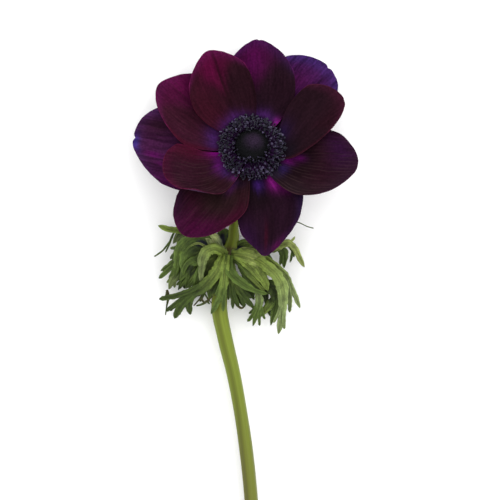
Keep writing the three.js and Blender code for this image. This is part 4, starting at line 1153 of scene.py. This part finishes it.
def leaf_face(name, brightness, matt):
    """Green leaf tissue under fine down: matt, with pale ribs along each lobe."""
    material, tree = new_material(name)
    grain = node(tree, "Attribute", {}, attribute_name="grain")["Vector"]
    tint = node(tree, "Attribute", {}, attribute_name="tint")["Color"]
    place_on = node(tree, "SeparateXYZ", {0: grain})
    spot = node(tree, "TexCoord", {})["Object"]
    # Patches of deeper and paler green, 3.03 mm across.
    patch = node(tree, "TexNoise", {"Vector": spot, "Scale": 1 / (3.03 * MM), "Detail": 3})[0]
    patch = node(
        tree, "MapRange", {0: patch, 1: 0.3, 2: 0.7, 3: 0.7 * brightness, 4: 1.3 * brightness}
    )[0]
    # Fine veins beside the ribs, about 0.4 mm apart.
    veins = node(tree, "Mapping", {"Vector": grain, "Scale": (5, 0.35, 1)})[0]
    veins = node(tree, "TexNoise", {"Vector": veins, "Scale": 1, "Detail": 3})[0]
    veins = node(tree, "MapRange", {0: veins, 1: 0.35, 2: 0.65, 3: 0.8, 4: 1.18})[0]
    streaks = node(tree, "Math", {0: patch, 1: veins}, operation="MULTIPLY")[0]
    # Down lies on it in tufts 0.5 mm across.
    down = node(tree, "TexNoise", {"Vector": spot, "Scale": 1 / (0.5 * MM), "Detail": 2})[0]
    down = node(tree, "MapRange", {0: down, 1: 0.35, 2: 0.65, 3: 0.85, 4: 1.15})[0]
    streaks = node(tree, "Math", {0: streaks, 1: down}, operation="MULTIPLY")[0]
    colour = node(tree, "VectorMath", {0: tint, "Scale": streaks}, operation="SCALE")[0]
    # A pale midrib about 0.4 mm wide, and fainter ribs beside it.
    half = node(tree, "Math", {0: place_on[0]}, operation="ABSOLUTE")[0]
    midrib = node(
        tree, "MapRange", {0: half, 1: 0.14, 2: 0.02, 3: 0, 4: 0.9}, interpolation_type="SMOOTHSTEP"
    )[0]
    ribs = node(tree, "Math", {0: place_on[0], 1: 0.22}, operation="PINGPONG")[0]
    ribs = node(
        tree, "MapRange", {0: ribs, 1: 0.08, 2: 0.0, 3: 0, 4: 0.5}, interpolation_type="SMOOTHSTEP"
    )[0]
    ribs = node(tree, "Math", {0: midrib, 1: ribs}, operation="MAXIMUM")[0]
    # The tissue is deepest just beside the midrib.
    beside = node(tree, "MapRange", {0: half, 1: 0.1, 2: 0.8, 3: 0.68, 4: 1.12})[0]
    colour = node(tree, "VectorMath", {0: colour, "Scale": beside}, operation="SCALE")[0]
    # Ribs are the leaf's own green, paler.
    pale = node(tree, "VectorMath", {0: colour, 1: (1.75, 1.6, 1.7)}, operation="MULTIPLY")[0]
    colour = node(tree, "Mix", {0: ribs, 6: colour, 7: pale}, data_type="RGBA")[2]
    bump = node(tree, "Bump", {"Strength": 0.8, "Distance": 0.25 * MM, "Height": streaks})[0]
    shader = node(
        tree, "BsdfPrincipled",
        {"Base Color": colour, "Roughness": matt, "Specular IOR Level": 0.2, "Normal": bump},
    )
    node(tree, "OutputMaterial", {"Surface": shader[0]})
    return material


def build_bracts():
    """Three bracts, each downy green above and paler below."""
    bracts = {name: build_bract(name) for name in BRACTS}
    paint_bracts(bracts)
    skins = [leaf_face("bract_face_downy", 0.85, 0.6), leaf_face("bract_back_pale", 1.0, 0.7)]
    for name, bm in bracts.items():
        finish_piece("leafy_" + name, bm, skins, [name], LEAF_THICKNESS)


# ------------------------------------------------------------------------------ the studio

CAMERA_HEIGHT = 1200
IN_FRAME = 190  # how much of the flower fills the frame
FLOWER_HEIGHT = 20
SENSOR = 36
SKY_STRENGTH = 1.2
LAMP_AT = (330, 300, 880)
LAMP_SIZE = 1.5
LAMP_WATTS = 7
FLOOR_HALF = 3


def build_studio():
    """A pale floor, soft light from all round and above, and a camera that looks down."""
    bm = bmesh.new()
    bmesh.ops.create_grid(bm, x_segments=1, y_segments=1, size=FLOOR_HALF)
    mesh = bpy.data.meshes.new("floor")
    bm.to_mesh(mesh)
    bm.free()
    floor = bpy.data.objects.new("floor", mesh)
    bpy.context.scene.collection.objects.link(floor)
    material, tree = new_material("floor_paper")
    shader = node(
        tree, "BsdfPrincipled",
        {"Base Color": tone("#f9f9f9"), "Roughness": 0.9, "Specular IOR Level": 0.1},
    )
    node(tree, "OutputMaterial", {"Surface": shader[0]})
    mesh.materials.append(material)

    world = bpy.data.worlds.new("studio")
    world.use_nodes = True
    sky = world.node_tree.nodes["Background"].inputs
    sky["Color"].default_value = (1, 1, 1, 1)
    sky["Strength"].default_value = SKY_STRENGTH
    bpy.context.scene.world = world

    lamp = bpy.data.lights.new("soft_box", "AREA")
    lamp.shape = "RECTANGLE"
    lamp.size = LAMP_SIZE
    lamp.size_y = LAMP_SIZE
    lamp.energy = LAMP_WATTS
    box = bpy.data.objects.new("soft_box", lamp)
    bpy.context.scene.collection.objects.link(box)
    box.location = place(Vector(LAMP_AT))
    aim = place(Vector((0, -30, 10))) - box.location
    box.rotation_euler = aim.to_track_quat("-Z", "Y").to_euler()

    camera = bpy.data.cameras.new("camera")
    camera.sensor_width = SENSOR
    camera.lens = SENSOR * (CAMERA_HEIGHT - FLOWER_HEIGHT) / IN_FRAME
    camera.clip_end = 20
    eye = bpy.data.objects.new("camera", camera)
    bpy.context.scene.collection.objects.link(eye)
    eye.location = place(Vector((-0.76, -38.76, CAMERA_HEIGHT)))
    bpy.context.scene.camera = eye
    bpy.context.scene.view_settings.view_transform = "Standard"


build_petals()
build_pistil()
stamen_mesh = stamen_shape()
for ring in STAMEN_RINGS:
    build_stamens(ring, stamen_mesh)
bpy.data.meshes.remove(stamen_mesh)
build_stem()
build_bracts()
build_studio()
